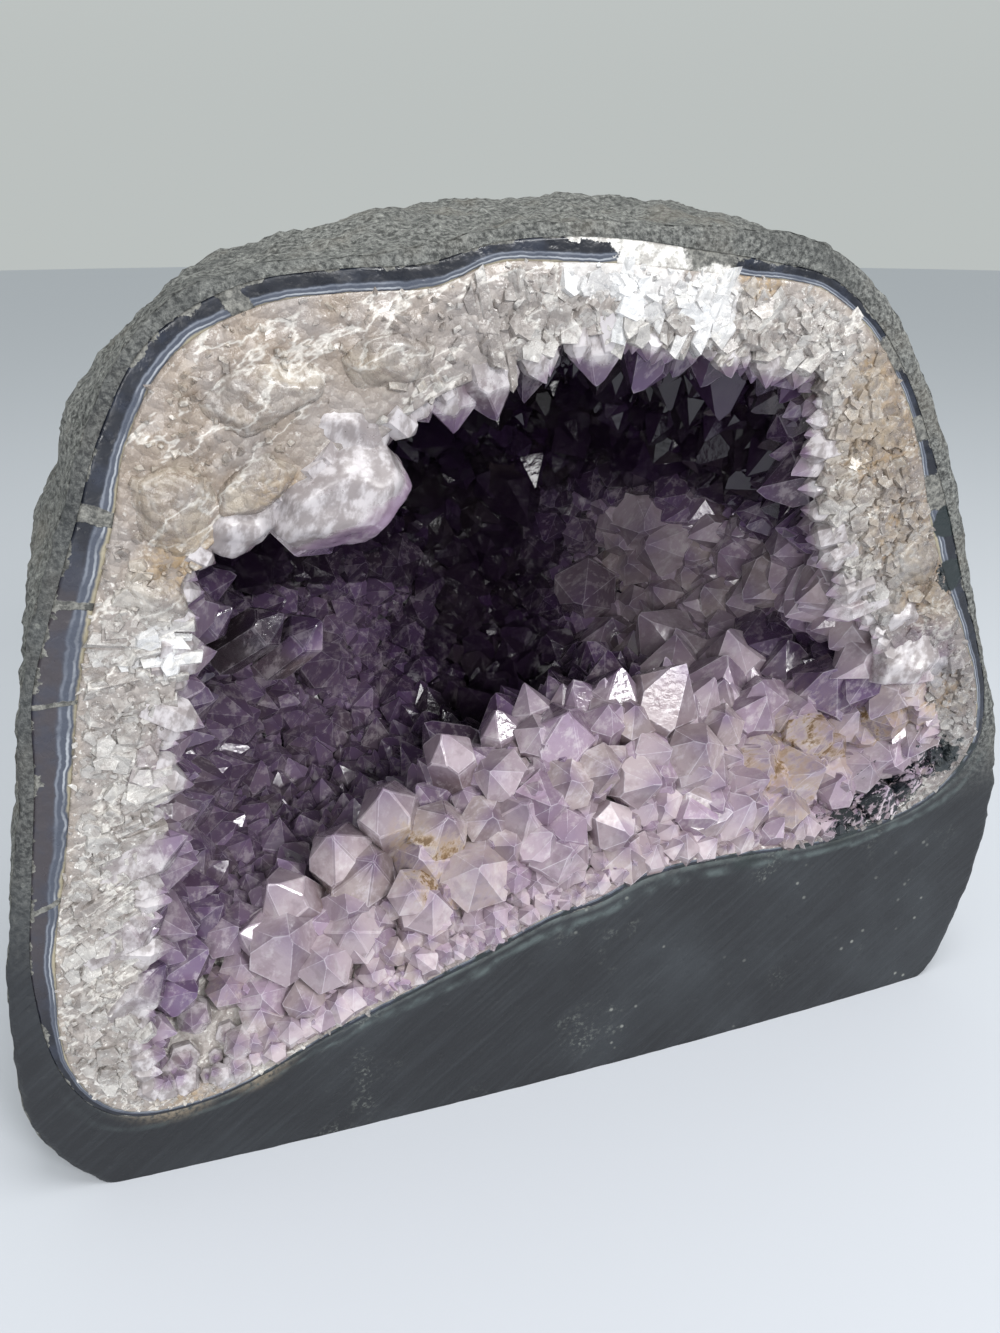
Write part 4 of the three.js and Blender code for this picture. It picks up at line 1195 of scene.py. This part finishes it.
class GeodeAgateSettings(bpy.types.PropertyGroup):
    dark: tone("Dark band", "Colour of the outer agate band", (14, 17, 28))
    smoky: tone("Smoky band", "Colour of the outer band where it is smoky", (66, 60, 64))
    line: tone("Pale line", "Colour of the thin line in the agate", (156, 160, 167))
    cream: tone("Cream band", "Colour beside the quartz", (152, 144, 124))


class GeodeQuartzSettings(bpy.types.PropertyGroup):
    milky: tone("Milky quartz", "Main colour of the rim quartz", (187, 183, 180))
    glassy: tone("Glassy quartz", "Colour of its clearer grains", (148, 140, 136))
    beige: tone("Beige quartz", "How much warmer the rim quartz is in places", (244, 231, 212))
    stain: tone("Stain", "Colour of the iron stains", (160, 134, 98))
    chip_width: length("Chip width", "Mean width of the rim's broken columns", 0.004)


class GeodeAmethystSettings(bpy.types.PropertyGroup):
    pale: tone("Pale crystal", "Colour of crystals at the front", (222, 206, 212))
    middle: tone("Middle crystal", "Colour half way in", (126, 102, 139))
    # Near black: a deeper purple with painted shade of the deep hollow in it.
    deep: tone("Deep crystal", "Colour deep in the hollow", (38, 26, 44))
    tip: tone("Tip", "Colour of the crystal tips", (124, 86, 152))
    stain: tone("Stain", "Colour of the iron stains between the crystals", (168, 134, 88))
    sugar_width: length("Sugar grains", "Mean width of the grains along the floor's front edge", 0.0032)
    fine_width: length("Fine crystals", "Mean width of the smallest crystals", 0.005)
    middle_width: length("Middle crystals", "Mean width of the middle crystals", 0.0082)
    large_width: length("Large crystals", "Mean width of the large crystals", 0.0115)
    edge_width: length("Edge width", "Width of the bright edges of the named crystals", 0.00025)


class GeodeStageSettings(bpy.types.PropertyGroup):
    floor: tone("Floor", "Colour of the floor", (190, 193, 200))
    sky: tone("Surroundings", "Colour of the light tent", (226, 232, 230))


# Pieces


class GEODE_OT_rock(bpy.types.Operator):
    """Build the basalt shell with its honed face, rough outside and flat foot"""

    bl_idname = "geode.rock"
    bl_label = "Basalt shell"

    def execute(self, context):
        rock = context.scene.geode_rock
        degree = even_degrees(ROCK_SHOULDER, ROCK_SEGMENTS)[None, :]
        depths = even_depths(
            lambda depth: MEAN_ROCK_RADIUS * closing(depth, BODY_DEPTH), (0, BODY_DEPTH), ROCK_RINGS + 1
        )[:-1]
        outer = rock_point(degree, depths[::-1, None])
        lumpy = rough(outer, 9, 1) * rock.lump_height / MM
        grainy = rough(outer, 2.3, 2) * rock.grain_height / MM
        push = rock_outward(degree, depths[::-1, None])
        push = push / np.linalg.norm(push, axis=-1, keepdims=True)
        calm = blend(0.45, 1, smooth(depths[::-1, None] / 6))
        outer = outer + push * ((lumpy + grainy) * calm)[..., None]
        rim = outer[-1]
        hollow = lining_point(degree[0], 0, 0, 0)
        share = np.linspace(0, 1, FACE_ROWS + 1)[1:, None, None]
        face = rim[None] * (1 - share) + hollow[None] * share
        width = np.linalg.norm(rim - hollow, axis=-1)
        from_rim = share[..., 0] * width[None]
        worn = rock.edge_wear / MM * np.maximum(0, 1 - from_rim / EDGE_WEAR_REACH) ** 2
        ripple = 0.12 * rough(face, 7, 3) + 0.05 * rough(face, 1.8, 4)
        level = place(face[..., 0] - SHIFT[0], 0, face[..., 2])[..., 1]
        chipped = worn * (1 + 0.7 * rough(face, 3, 5))
        face[..., 1] = level + chipped + ripple * smooth(1 - share[..., 0], 0, 0.05)
        outer[-1, :, 1] = level[0] + rock.edge_wear / MM * 1.3
        face[-1] = hollow
        inner_depths = np.array([0.04, 0.2, 0.4, 0.6, 0.8, 0.93])[:, None]
        inner = lining_point(degree, inner_depths, 0, 0)
        rings = np.concatenate([outer, face, inner])
        cut = np.zeros(rings.shape[:2])
        cut[len(outer):] = 1
        left = 1 - smooth(rings[..., 0], -90, -50)
        cut *= 1 - (0.85 - 0.5 * left) * smooth(rings[..., 2], 55, 90)
        vein, soot, earth = self.marks(rings)
        mesh = loft(
            "basalt_shell_rough", rings, on_ring(0, 0, BODY_DEPTH), on_ring(0, 0, HOLLOW_DEPTH),
            {"cut_face": cut, "vein": vein, "soot": soot, "earth": earth},
        )
        cut_flat(mesh)
        shade_smooth(mesh)
        piece = finish_piece(mesh, "rock_shell", basalt_finish(rock))
        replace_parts(piece, "basalt_shell")
        return {"FINISHED"}

    def marks(self, rings):
        """The chalcedony line under the floor crystals, and dark and earthy patches beside the quartz."""
        x, z = rings[..., 0] - SHIFT[0] - HEART_X, rings[..., 2] - HEART_Z
        degree = np.degrees(np.arctan2(z, x))
        under = np.hypot(x, z) - along(HOLLOW_EDGE, degree)
        wander = rough(rings, 9, 6)
        below = smooth(np.abs(np.mod(degree, 360) - 285), 70, 30)
        vein = below * (1 - smooth(np.abs(under - 3.2 - 1.4 * wander), 0.2, 1.3))
        vein = np.maximum(vein, below * 0.8 * (1 - smooth(under, 0.3, 1.6)))
        dark = spots(SOOT_PLACES, rings)
        soot = dark * (1 - smooth(under + 2.5 * wander, 1.5, 5.5))
        earth = spots(EARTHY_PLACES, rings) * (1 - smooth(under + 3 * wander, 1, 6))
        return vein, soot, earth


class GEODE_OT_agate(bpy.types.Operator):
    """Build the agate lining, banded from the rock to the quartz"""

    bl_idname = "geode.agate"
    bl_label = "Agate band"

    def execute(self, context):
        agate = context.scene.geode_agate
        degree = even_degrees(HOLLOW_EDGE, AGATE_SEGMENTS)[None, :]
        width = along(AGATE_WIDTH, degree)
        back = np.array([*LINING_DEPTHS, 0.015])[:, None]
        outer = lining_point(degree, back, LAYER_GAP * 0.5, LAYER_GAP * 0.5)
        deep = LAYER_GAP + AGATE_BACK_WIDTH
        inner = lining_point(degree, back[::-1], LAYER_GAP + width, deep)
        share = np.linspace(0, 1, 10)[:, None]
        front = lining_point(degree, 0, 0.02 + share * (width + LAYER_GAP), 0)
        bevel = 0.12 * (1 - np.sin(np.pi * share)) ** 3
        front[..., 1] += bevel + 0.12 * rough(front, 3, 8)
        rings = np.concatenate([outer, front, inner])
        across = np.concatenate([np.zeros(outer.shape[:2]), share + 0 * degree, np.ones(inner.shape[:2])])
        under = smooth(degree, 226, 238) * (1 - smooth(degree, 338, 348))
        values = {
            "across": across,
            "soot": np.maximum(spots(SOOT_PLACES, rings), 0.45 * under),
            "white": spots(WHITE_PLACES, rings),
            **self.breaks(degree, rings.shape[:2]),
        }
        ends = on_ring(0, 0, HOLLOW_DEPTH - LAYER_GAP), on_ring(0, 0, HOLLOW_DEPTH - deep)
        mesh = loft("agate_band_fine", rings, *ends, values)
        outward_normals(mesh)
        shade_smooth(mesh)
        piece = finish_piece(mesh, "agate_lining", agate_finish(agate))
        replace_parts(piece, "agate_band")
        return {"FINISHED"}

    def breaks(self, degree, shape):
        """Grey rock that crosses the band in places, and the stretch where it is smoky and not navy."""
        crossing = np.zeros(degree.shape)
        for at, half in AGATE_BREAKS:
            away = np.abs(np.mod(degree - at + 180, 360) - 180)
            crossing = np.maximum(crossing, 1 - smooth(away, half * 0.4, half * 1.3 + 0.4))
        smoky = smooth(degree, 160, 172) * (1 - smooth(degree, 205, 216))
        return {"crossing": np.broadcast_to(crossing, shape), "smoky": np.broadcast_to(smoky * 0.7, shape)}


class GEODE_OT_quartz_bed(bpy.types.Operator):
    """Build the milky quartz layer that all the crystals grow from"""

    bl_idname = "geode.quartz_bed"
    bl_label = "Quartz bed"

    def execute(self, context):
        quartz = context.scene.geode_quartz
        degree = even_degrees(BED_MOUTH, BED_SEGMENTS)[None, :]
        width = along(AGATE_WIDTH, degree)
        edge, deep = LAYER_GAP + width, 2 * LAYER_GAP + AGATE_BACK_WIDTH
        back = np.array([*LINING_DEPTHS, 0.01])[:, None]
        outer = lining_point(degree, back, edge + LAYER_GAP, deep)
        face, from_agate, _, _ = rim_face(degree, rows=40)
        cavity = bed_point(degree, bed_depths(0, CAVITY_DEPTH, 62)[1:-1, None])
        cavity = cavity + inward(cavity) * (0.8 * rough(cavity, 5, 12))[..., None]
        rings = np.concatenate([outer, face, cavity])
        values = bed_values(rings)
        on_face = np.zeros(rings.shape[:2])
        on_face[len(outer):len(outer) + len(face)] = 1
        beside = np.zeros(rings.shape[:2])
        beside[len(outer):len(outer) + len(face)] = 0.5 * (1 - smooth(from_agate, 0.6, 2.5))
        marks = {
            "warm": np.maximum(spots(WARM_PLACES, rings) * on_face, beside),
            "lilac": spots(LILAC_PLACES, rings) * on_face,
            "white": spots(WHITE_PLACES, rings) * on_face,
            "stain": np.maximum(spots(BROWN_PLACES, rings) * on_face, values["stain"]),
            # deep: near black deep in the hollow, partly painted shade, and the rim's painted darkening from
            # rim_shadow.
            "deep": np.maximum(values["deep"] * (1 - on_face), rim_shadow(rings)),
            "glassy": spots(GLASSY_PLACES, rings), "soot": values["soot"],
        }
        ends = on_ring(0, 0, HOLLOW_DEPTH - deep), on_ring(0, 0, CAVITY_DEPTH)
        mesh = loft("quartz_bed", rings, *ends, marks)
        outward_normals(mesh)
        shade_smooth(mesh)
        material = quartz_finish("milky_quartz", quartz, clearness=0.0)
        piece = finish_piece(mesh, "quartz_bed", material)
        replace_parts(piece, "amethyst_crust")
        return {"FINISHED"}


class GEODE_OT_rim_quartz(bpy.types.Operator):
    """Cover the cut rim with broken quartz: splinters that point at the hollow, chunks, crumbs, low masses"""

    bl_idname = "geode.rim_quartz"
    bl_label = "Broken rim quartz"

    def execute(self, context):
        quartz = context.scene.geode_quartz
        degree = even_degrees(BED_MOUTH, SUPPORT_SEGMENTS)[None, :]
        face, from_agate, from_mouth, toward = rim_face(degree, rows=16)
        toward = toward + np.array([0, -0.03, 0])
        outward = np.broadcast_to(np.array([0, -1, 0.05]), face.shape)
        lobe_places = [(x, 0, z, 1.35 * half[0]) for (x, _, z), half, *_ in LOBES]
        lobe = np.clip(1.6 * spots(lobe_places, face), 0, 1)
        colors = self.colors(face)
        white, glassy = colors["white"], colors["glassy"]
        x, z = face[..., 0], face[..., 2]
        left = (1 - smooth(x, -78, -66)) * (1 - smooth(z, 128, 140))
        floor = (1 - smooth(z, 62, 92)) * (1 - left)
        roof = smooth(z, 165, 178) * smooth(x, -50, -30)
        striped = np.maximum(left, roof * 0.8)
        room = smooth(from_agate, 1.5, 3) * (1 - 0.9 * lobe)
        between = smooth(from_agate, 5, 8)
        size = (1 + 0.4 * white * (1 - left)) * blend(0.75, 1, smooth(from_agate, 1.5, 6))
        values = {
            **colors,
            "splinters": between * np.clip(0.8 * striped - floor, 0, 1) * smooth(from_mouth, 0, 3),
            "chunks": room * (1 - 0.4 * left) * (1 - 0.8 * floor) * (1 - glassy),
            "crumbs": smooth(from_agate, -0.3, 0.3) * (1 - 0.95 * lobe) * (1 - 0.4 * glassy),
            "size": size * (1 + 0.4 * floor),
        }
        material = quartz_finish("broken_quartz", quartz, clearness=0.2)
        splinters = chunk_kinds(7, seed=21, height=3.4, slant=0.9)
        chunks = chunk_kinds(9, seed=22, height=0.55, slant=0.25)
        crumbs = chunk_kinds(9, seed=23, height=0.8, slant=0.5, sides=4)
        wide = quartz.chip_width
        for name, kinds, direction, seed, spacing, scale, sink, lean, shortest, longest in (
            ("rim_splinters", splinters, toward, 3, 0.5, 0.75, 1.0, 0.1, 0.7, 1.2),
            ("rim_chunks", chunks, outward, 5, 0.42, 1.15, 0.6, 0.3, 0.7, 1.3),
            ("rim_crumbs", crumbs, outward, 4, 0.3, 0.36, 0.1, 1.2, 0.8, 1.6),
        ):
            surface = surface_mesh("rim", face + np.array([0, sink, 0]), direction, values)
            piece = grow(
                name, surface, kinds, material, "amethyst", Where=name.removeprefix("rim_"),
                Spacing=wide * spacing, Smallest=wide * scale * 0.45, Largest=wide * scale * 1.4,
                Shortest=shortest, Longest=longest, Lean=lean, Seed=seed,
            )
            tuck_in(piece.data, proud=2.0)
            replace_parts(piece, "amethyst_crust")
        for kinds in (splinters, chunks, crumbs):
            drop_kinds(kinds)
        masses = join([lobe_shape(*mass, 80 + index) for index, mass in enumerate(MASSES)], "rim_masses")
        shade_smooth(masses)
        for key, value in self.colors(points_of(masses)).items():
            store(masses, key, value)
        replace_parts(finish_piece(masses, "rim_masses", material), "amethyst_crust")
        return {"FINISHED"}

    def colors(self, points):
        """What the broken quartz takes its colours from, at points in millimetres."""
        return {
            "warm": spots(WARM_PLACES, points), "lilac": spots(LILAC_PLACES, points),
            "white": spots(WHITE_PLACES, points), "glassy": spots(GLASSY_PLACES, points),
            # deep: the rim's darkening from rim_shadow, which is painted shade low on the right.
            "deep": rim_shadow(points), "soot": spots(SOOT_PLACES, points),
            "stain": np.maximum(spots(BROWN_PLACES, points), spots(FLOOR_STAINS, points)) * 0.7,
        }


class GEODE_OT_druse(bpy.types.Operator):
    """Grow fine, middle and large crystals all over the hollow, and sugar grains along the floor's edge"""

    bl_idname = "geode.druse"
    bl_label = "Crystals of the hollow"

    def execute(self, context):
        amethyst = context.scene.geode_amethyst
        degree = even_degrees(BED_LIP, SUPPORT_SEGMENTS)[None, :]
        points = bed_point(degree, bed_depths(1.5, CAVITY_DEPTH * 0.999, 60)[:, None])
        values = bed_values(points)
        forward = values["sugar"][..., None] * np.array([0, -0.3, 0.25])
        toward = inward(points) + np.array([0, -0.12, 0.05]) + forward
        material = amethyst_finish("amethyst", amethyst, clearness=0.3, absorb=30.0)
        kinds = crystal_kinds(8, seed=33, length=1.7)
        for name, seed, spacing, wide in (
            ("druse_fine", 11, 0.62, amethyst.fine_width),
            ("druse_middle", 12, 0.72, amethyst.middle_width),
            ("druse_large", 13, 1.0, amethyst.large_width),
            ("druse_sugar", 14, 0.55, amethyst.sugar_width),
        ):
            surface = surface_mesh(name, points, toward, values)
            piece = grow(
                name, surface, kinds, material, "amethyst", Where=name.removeprefix("druse_"),
                Spacing=wide * spacing, Smallest=wide * 0.6, Largest=wide * 1.4, Shortest=0.75, Longest=1.25,
                Lean=0.3, Seed=seed,
            )
            tuck_in(piece.data, proud=1.5)
            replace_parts(piece, "amethyst_crust")
        drop_kinds(kinds)
        return {"FINISHED"}


class GEODE_OT_named_crystals(bpy.types.Operator):
    """Set the large crystals of the floor ridge, those of the rim, and the rounded masses between them"""

    bl_idname = "geode.named_crystals"
    bl_label = "Large crystals"

    def execute(self, context):
        amethyst = context.scene.geode_amethyst
        draw = random_from(BED_SEED)
        floor, rim = [], []
        for index, (tip, points, width, length) in enumerate(FLOOR_CRYSTALS + RIM_CRYSTALS):
            spin = Quaternion((0, 0, 1), draw() * math.pi)
            corners = [Vector(corner) for corner in crystal_corners(width, length, draw)]
            turn = Vector((0, 0, 1)).rotation_difference(Vector(points).normalized()) @ spin
            edge_width = amethyst.edge_width / MM * (0.6 + width / 30)
            shape = crystal_shape(corners, random_from(index + 1), edge_width)
            number = shape.verts.layers.int.new("crystal")
            layer = shape.verts.layers.float.new("reach")
            shading = shape.verts.layers.float.new("shade")
            shade = (index * GOLDEN_SHARE) % 1
            tip_at = Vector(place(*tip))
            for vertex in shape.verts:
                vertex[layer] = 1 + vertex.co.z / min(length, TIP_COLOR_WIDTHS * width)
                vertex[shading], vertex[number] = shade, index
                vertex.co = ((turn @ vertex.co) + tip_at) * MM
            (floor if index < len(FLOOR_CRYSTALS) else rim).append(shape)
        material = amethyst_finish("clear_amethyst", amethyst, clearness=0.35, absorb=18.0)
        lobes = [lobe_shape(*lobe, 60 + index) for index, lobe in enumerate(LOBES)]
        for name, shapes in (("floor_crystals", floor), ("rim_crystals", rim), ("rim_lobes", lobes)):
            mesh = join(shapes, name)
            if shapes is lobes:
                shade_smooth(mesh)
            else:
                tuck_in(mesh, proud=2.0)
            values = bed_values(points_of(mesh))
            values["front"] *= 0.8 if shapes is lobes else 0.6
            values["tint"] *= {"floor_crystals": 1, "rim_crystals": 1.3, "rim_lobes": 0.2}[name]
            for key in ("tint", "stain", "front", "soot"):
                store(mesh, key, values[key])
            piece = finish_piece(mesh, name, material)
            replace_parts(piece, "amethyst_crust")
        return {"FINISHED"}


class GEODE_OT_stage(bpy.types.Operator):
    """Set the pale floor, the soft light and the camera"""

    bl_idname = "geode.stage"
    bl_label = "Stage"

    def execute(self, context):
        stage = context.scene.geode_stage
        scene = context.scene
        bm = bmesh.new()
        bmesh.ops.create_circle(bm, cap_ends=True, segments=96, radius=FLOOR_RADIUS)
        mesh = as_mesh(bm, "floor")
        floor = bpy.data.objects.new("floor", mesh)
        scene.collection.objects.link(floor)
        cloth = Finish("floor")
        mesh.materials.append(cloth.set(Base_Color=tuple(stage.floor), Roughness=0.9))
        world = bpy.data.worlds.new("tent")
        world.use_nodes = True
        sky = Nodes(world.node_tree)
        around = sky.add("ShaderNodeTexCoord").out("Generated")
        height = sky.add("ShaderNodeSeparateXYZ", None, around).number("Z")
        background = world.node_tree.nodes["Background"]
        background.inputs["Color"].default_value = tuple(stage.sky)
        sky.fill(background.inputs["Strength"], height.ramp(0.05, 0.9, 0.66, 1.0))
        scene.world = world
        for name, at, toward, size, power in LIGHTS:
            light = bpy.data.lights.new(name, "AREA")
            light.shape, light.size, light.energy = "DISK", size, power
            lamp = bpy.data.objects.new(name, light)
            lamp.location = at
            lamp.rotation_euler = (Vector(toward) - Vector(at)).to_track_quat("-Z", "Y").to_euler()
            scene.collection.objects.link(lamp)
        camera = bpy.data.cameras.new("camera")
        camera.sensor_width, camera.lens, camera.clip_start = SENSOR_WIDTH, LENS_LENGTH, 0.01
        eye = bpy.data.objects.new("camera", camera)
        eye.location = CAMERA_PLACE
        yaw, pitch = math.radians(CAMERA_YAW), math.radians(CAMERA_PITCH)
        ahead = Vector((math.sin(yaw) * math.cos(pitch), math.cos(yaw) * math.cos(pitch), -math.sin(pitch)))
        eye.rotation_euler = ahead.to_track_quat("-Z", "Y").to_euler()
        scene.collection.objects.link(eye)
        scene.camera = eye
        scene.view_settings.view_transform = "Standard"
        return {"FINISHED"}


OPERATORS = (
    GEODE_OT_stage, GEODE_OT_rock, GEODE_OT_agate, GEODE_OT_quartz_bed, GEODE_OT_rim_quartz, GEODE_OT_druse,
    GEODE_OT_named_crystals,
)
SETTINGS = {
    "geode_rock": GeodeRockSettings, "geode_agate": GeodeAgateSettings, "geode_quartz": GeodeQuartzSettings,
    "geode_amethyst": GeodeAmethystSettings, "geode_stage": GeodeStageSettings,
}


class GEODE_PT_panel(bpy.types.Panel):
    """Lists the geode's settings and its steps"""

    bl_idname = "GEODE_PT_panel"
    bl_label = "Amethyst geode"
    bl_space_type = "VIEW_3D"
    bl_region_type = "UI"
    bl_category = "Geode"

    def draw(self, context):
        layout = self.layout
        for key in SETTINGS:
            group = getattr(context.scene, key)
            for name in group.bl_rna.properties.keys():
                if name not in ("rna_type", "name"):
                    layout.prop(group, name)
        for operator in OPERATORS:
            layout.operator(operator.bl_idname)


def register():
    for group in SETTINGS.values():
        bpy.utils.register_class(group)
    for key, group in SETTINGS.items():
        setattr(bpy.types.Scene, key, bpy.props.PointerProperty(type=group))
    for operator in OPERATORS:
        bpy.utils.register_class(operator)
    bpy.utils.register_class(GEODE_PT_panel)


def unregister():
    bpy.utils.unregister_class(GEODE_PT_panel)
    for operator in reversed(OPERATORS):
        bpy.utils.unregister_class(operator)
    for key in SETTINGS:
        delattr(bpy.types.Scene, key)
    for group in reversed(list(SETTINGS.values())):
        bpy.utils.unregister_class(group)


def main():
    register()
    bpy.ops.geode.stage()
    bpy.ops.geode.rock()
    bpy.ops.geode.agate()
    bpy.ops.geode.quartz_bed()
    bpy.ops.geode.rim_quartz()
    bpy.ops.geode.druse()
    bpy.ops.geode.named_crystals()


if __name__ == "__main__":
    main()
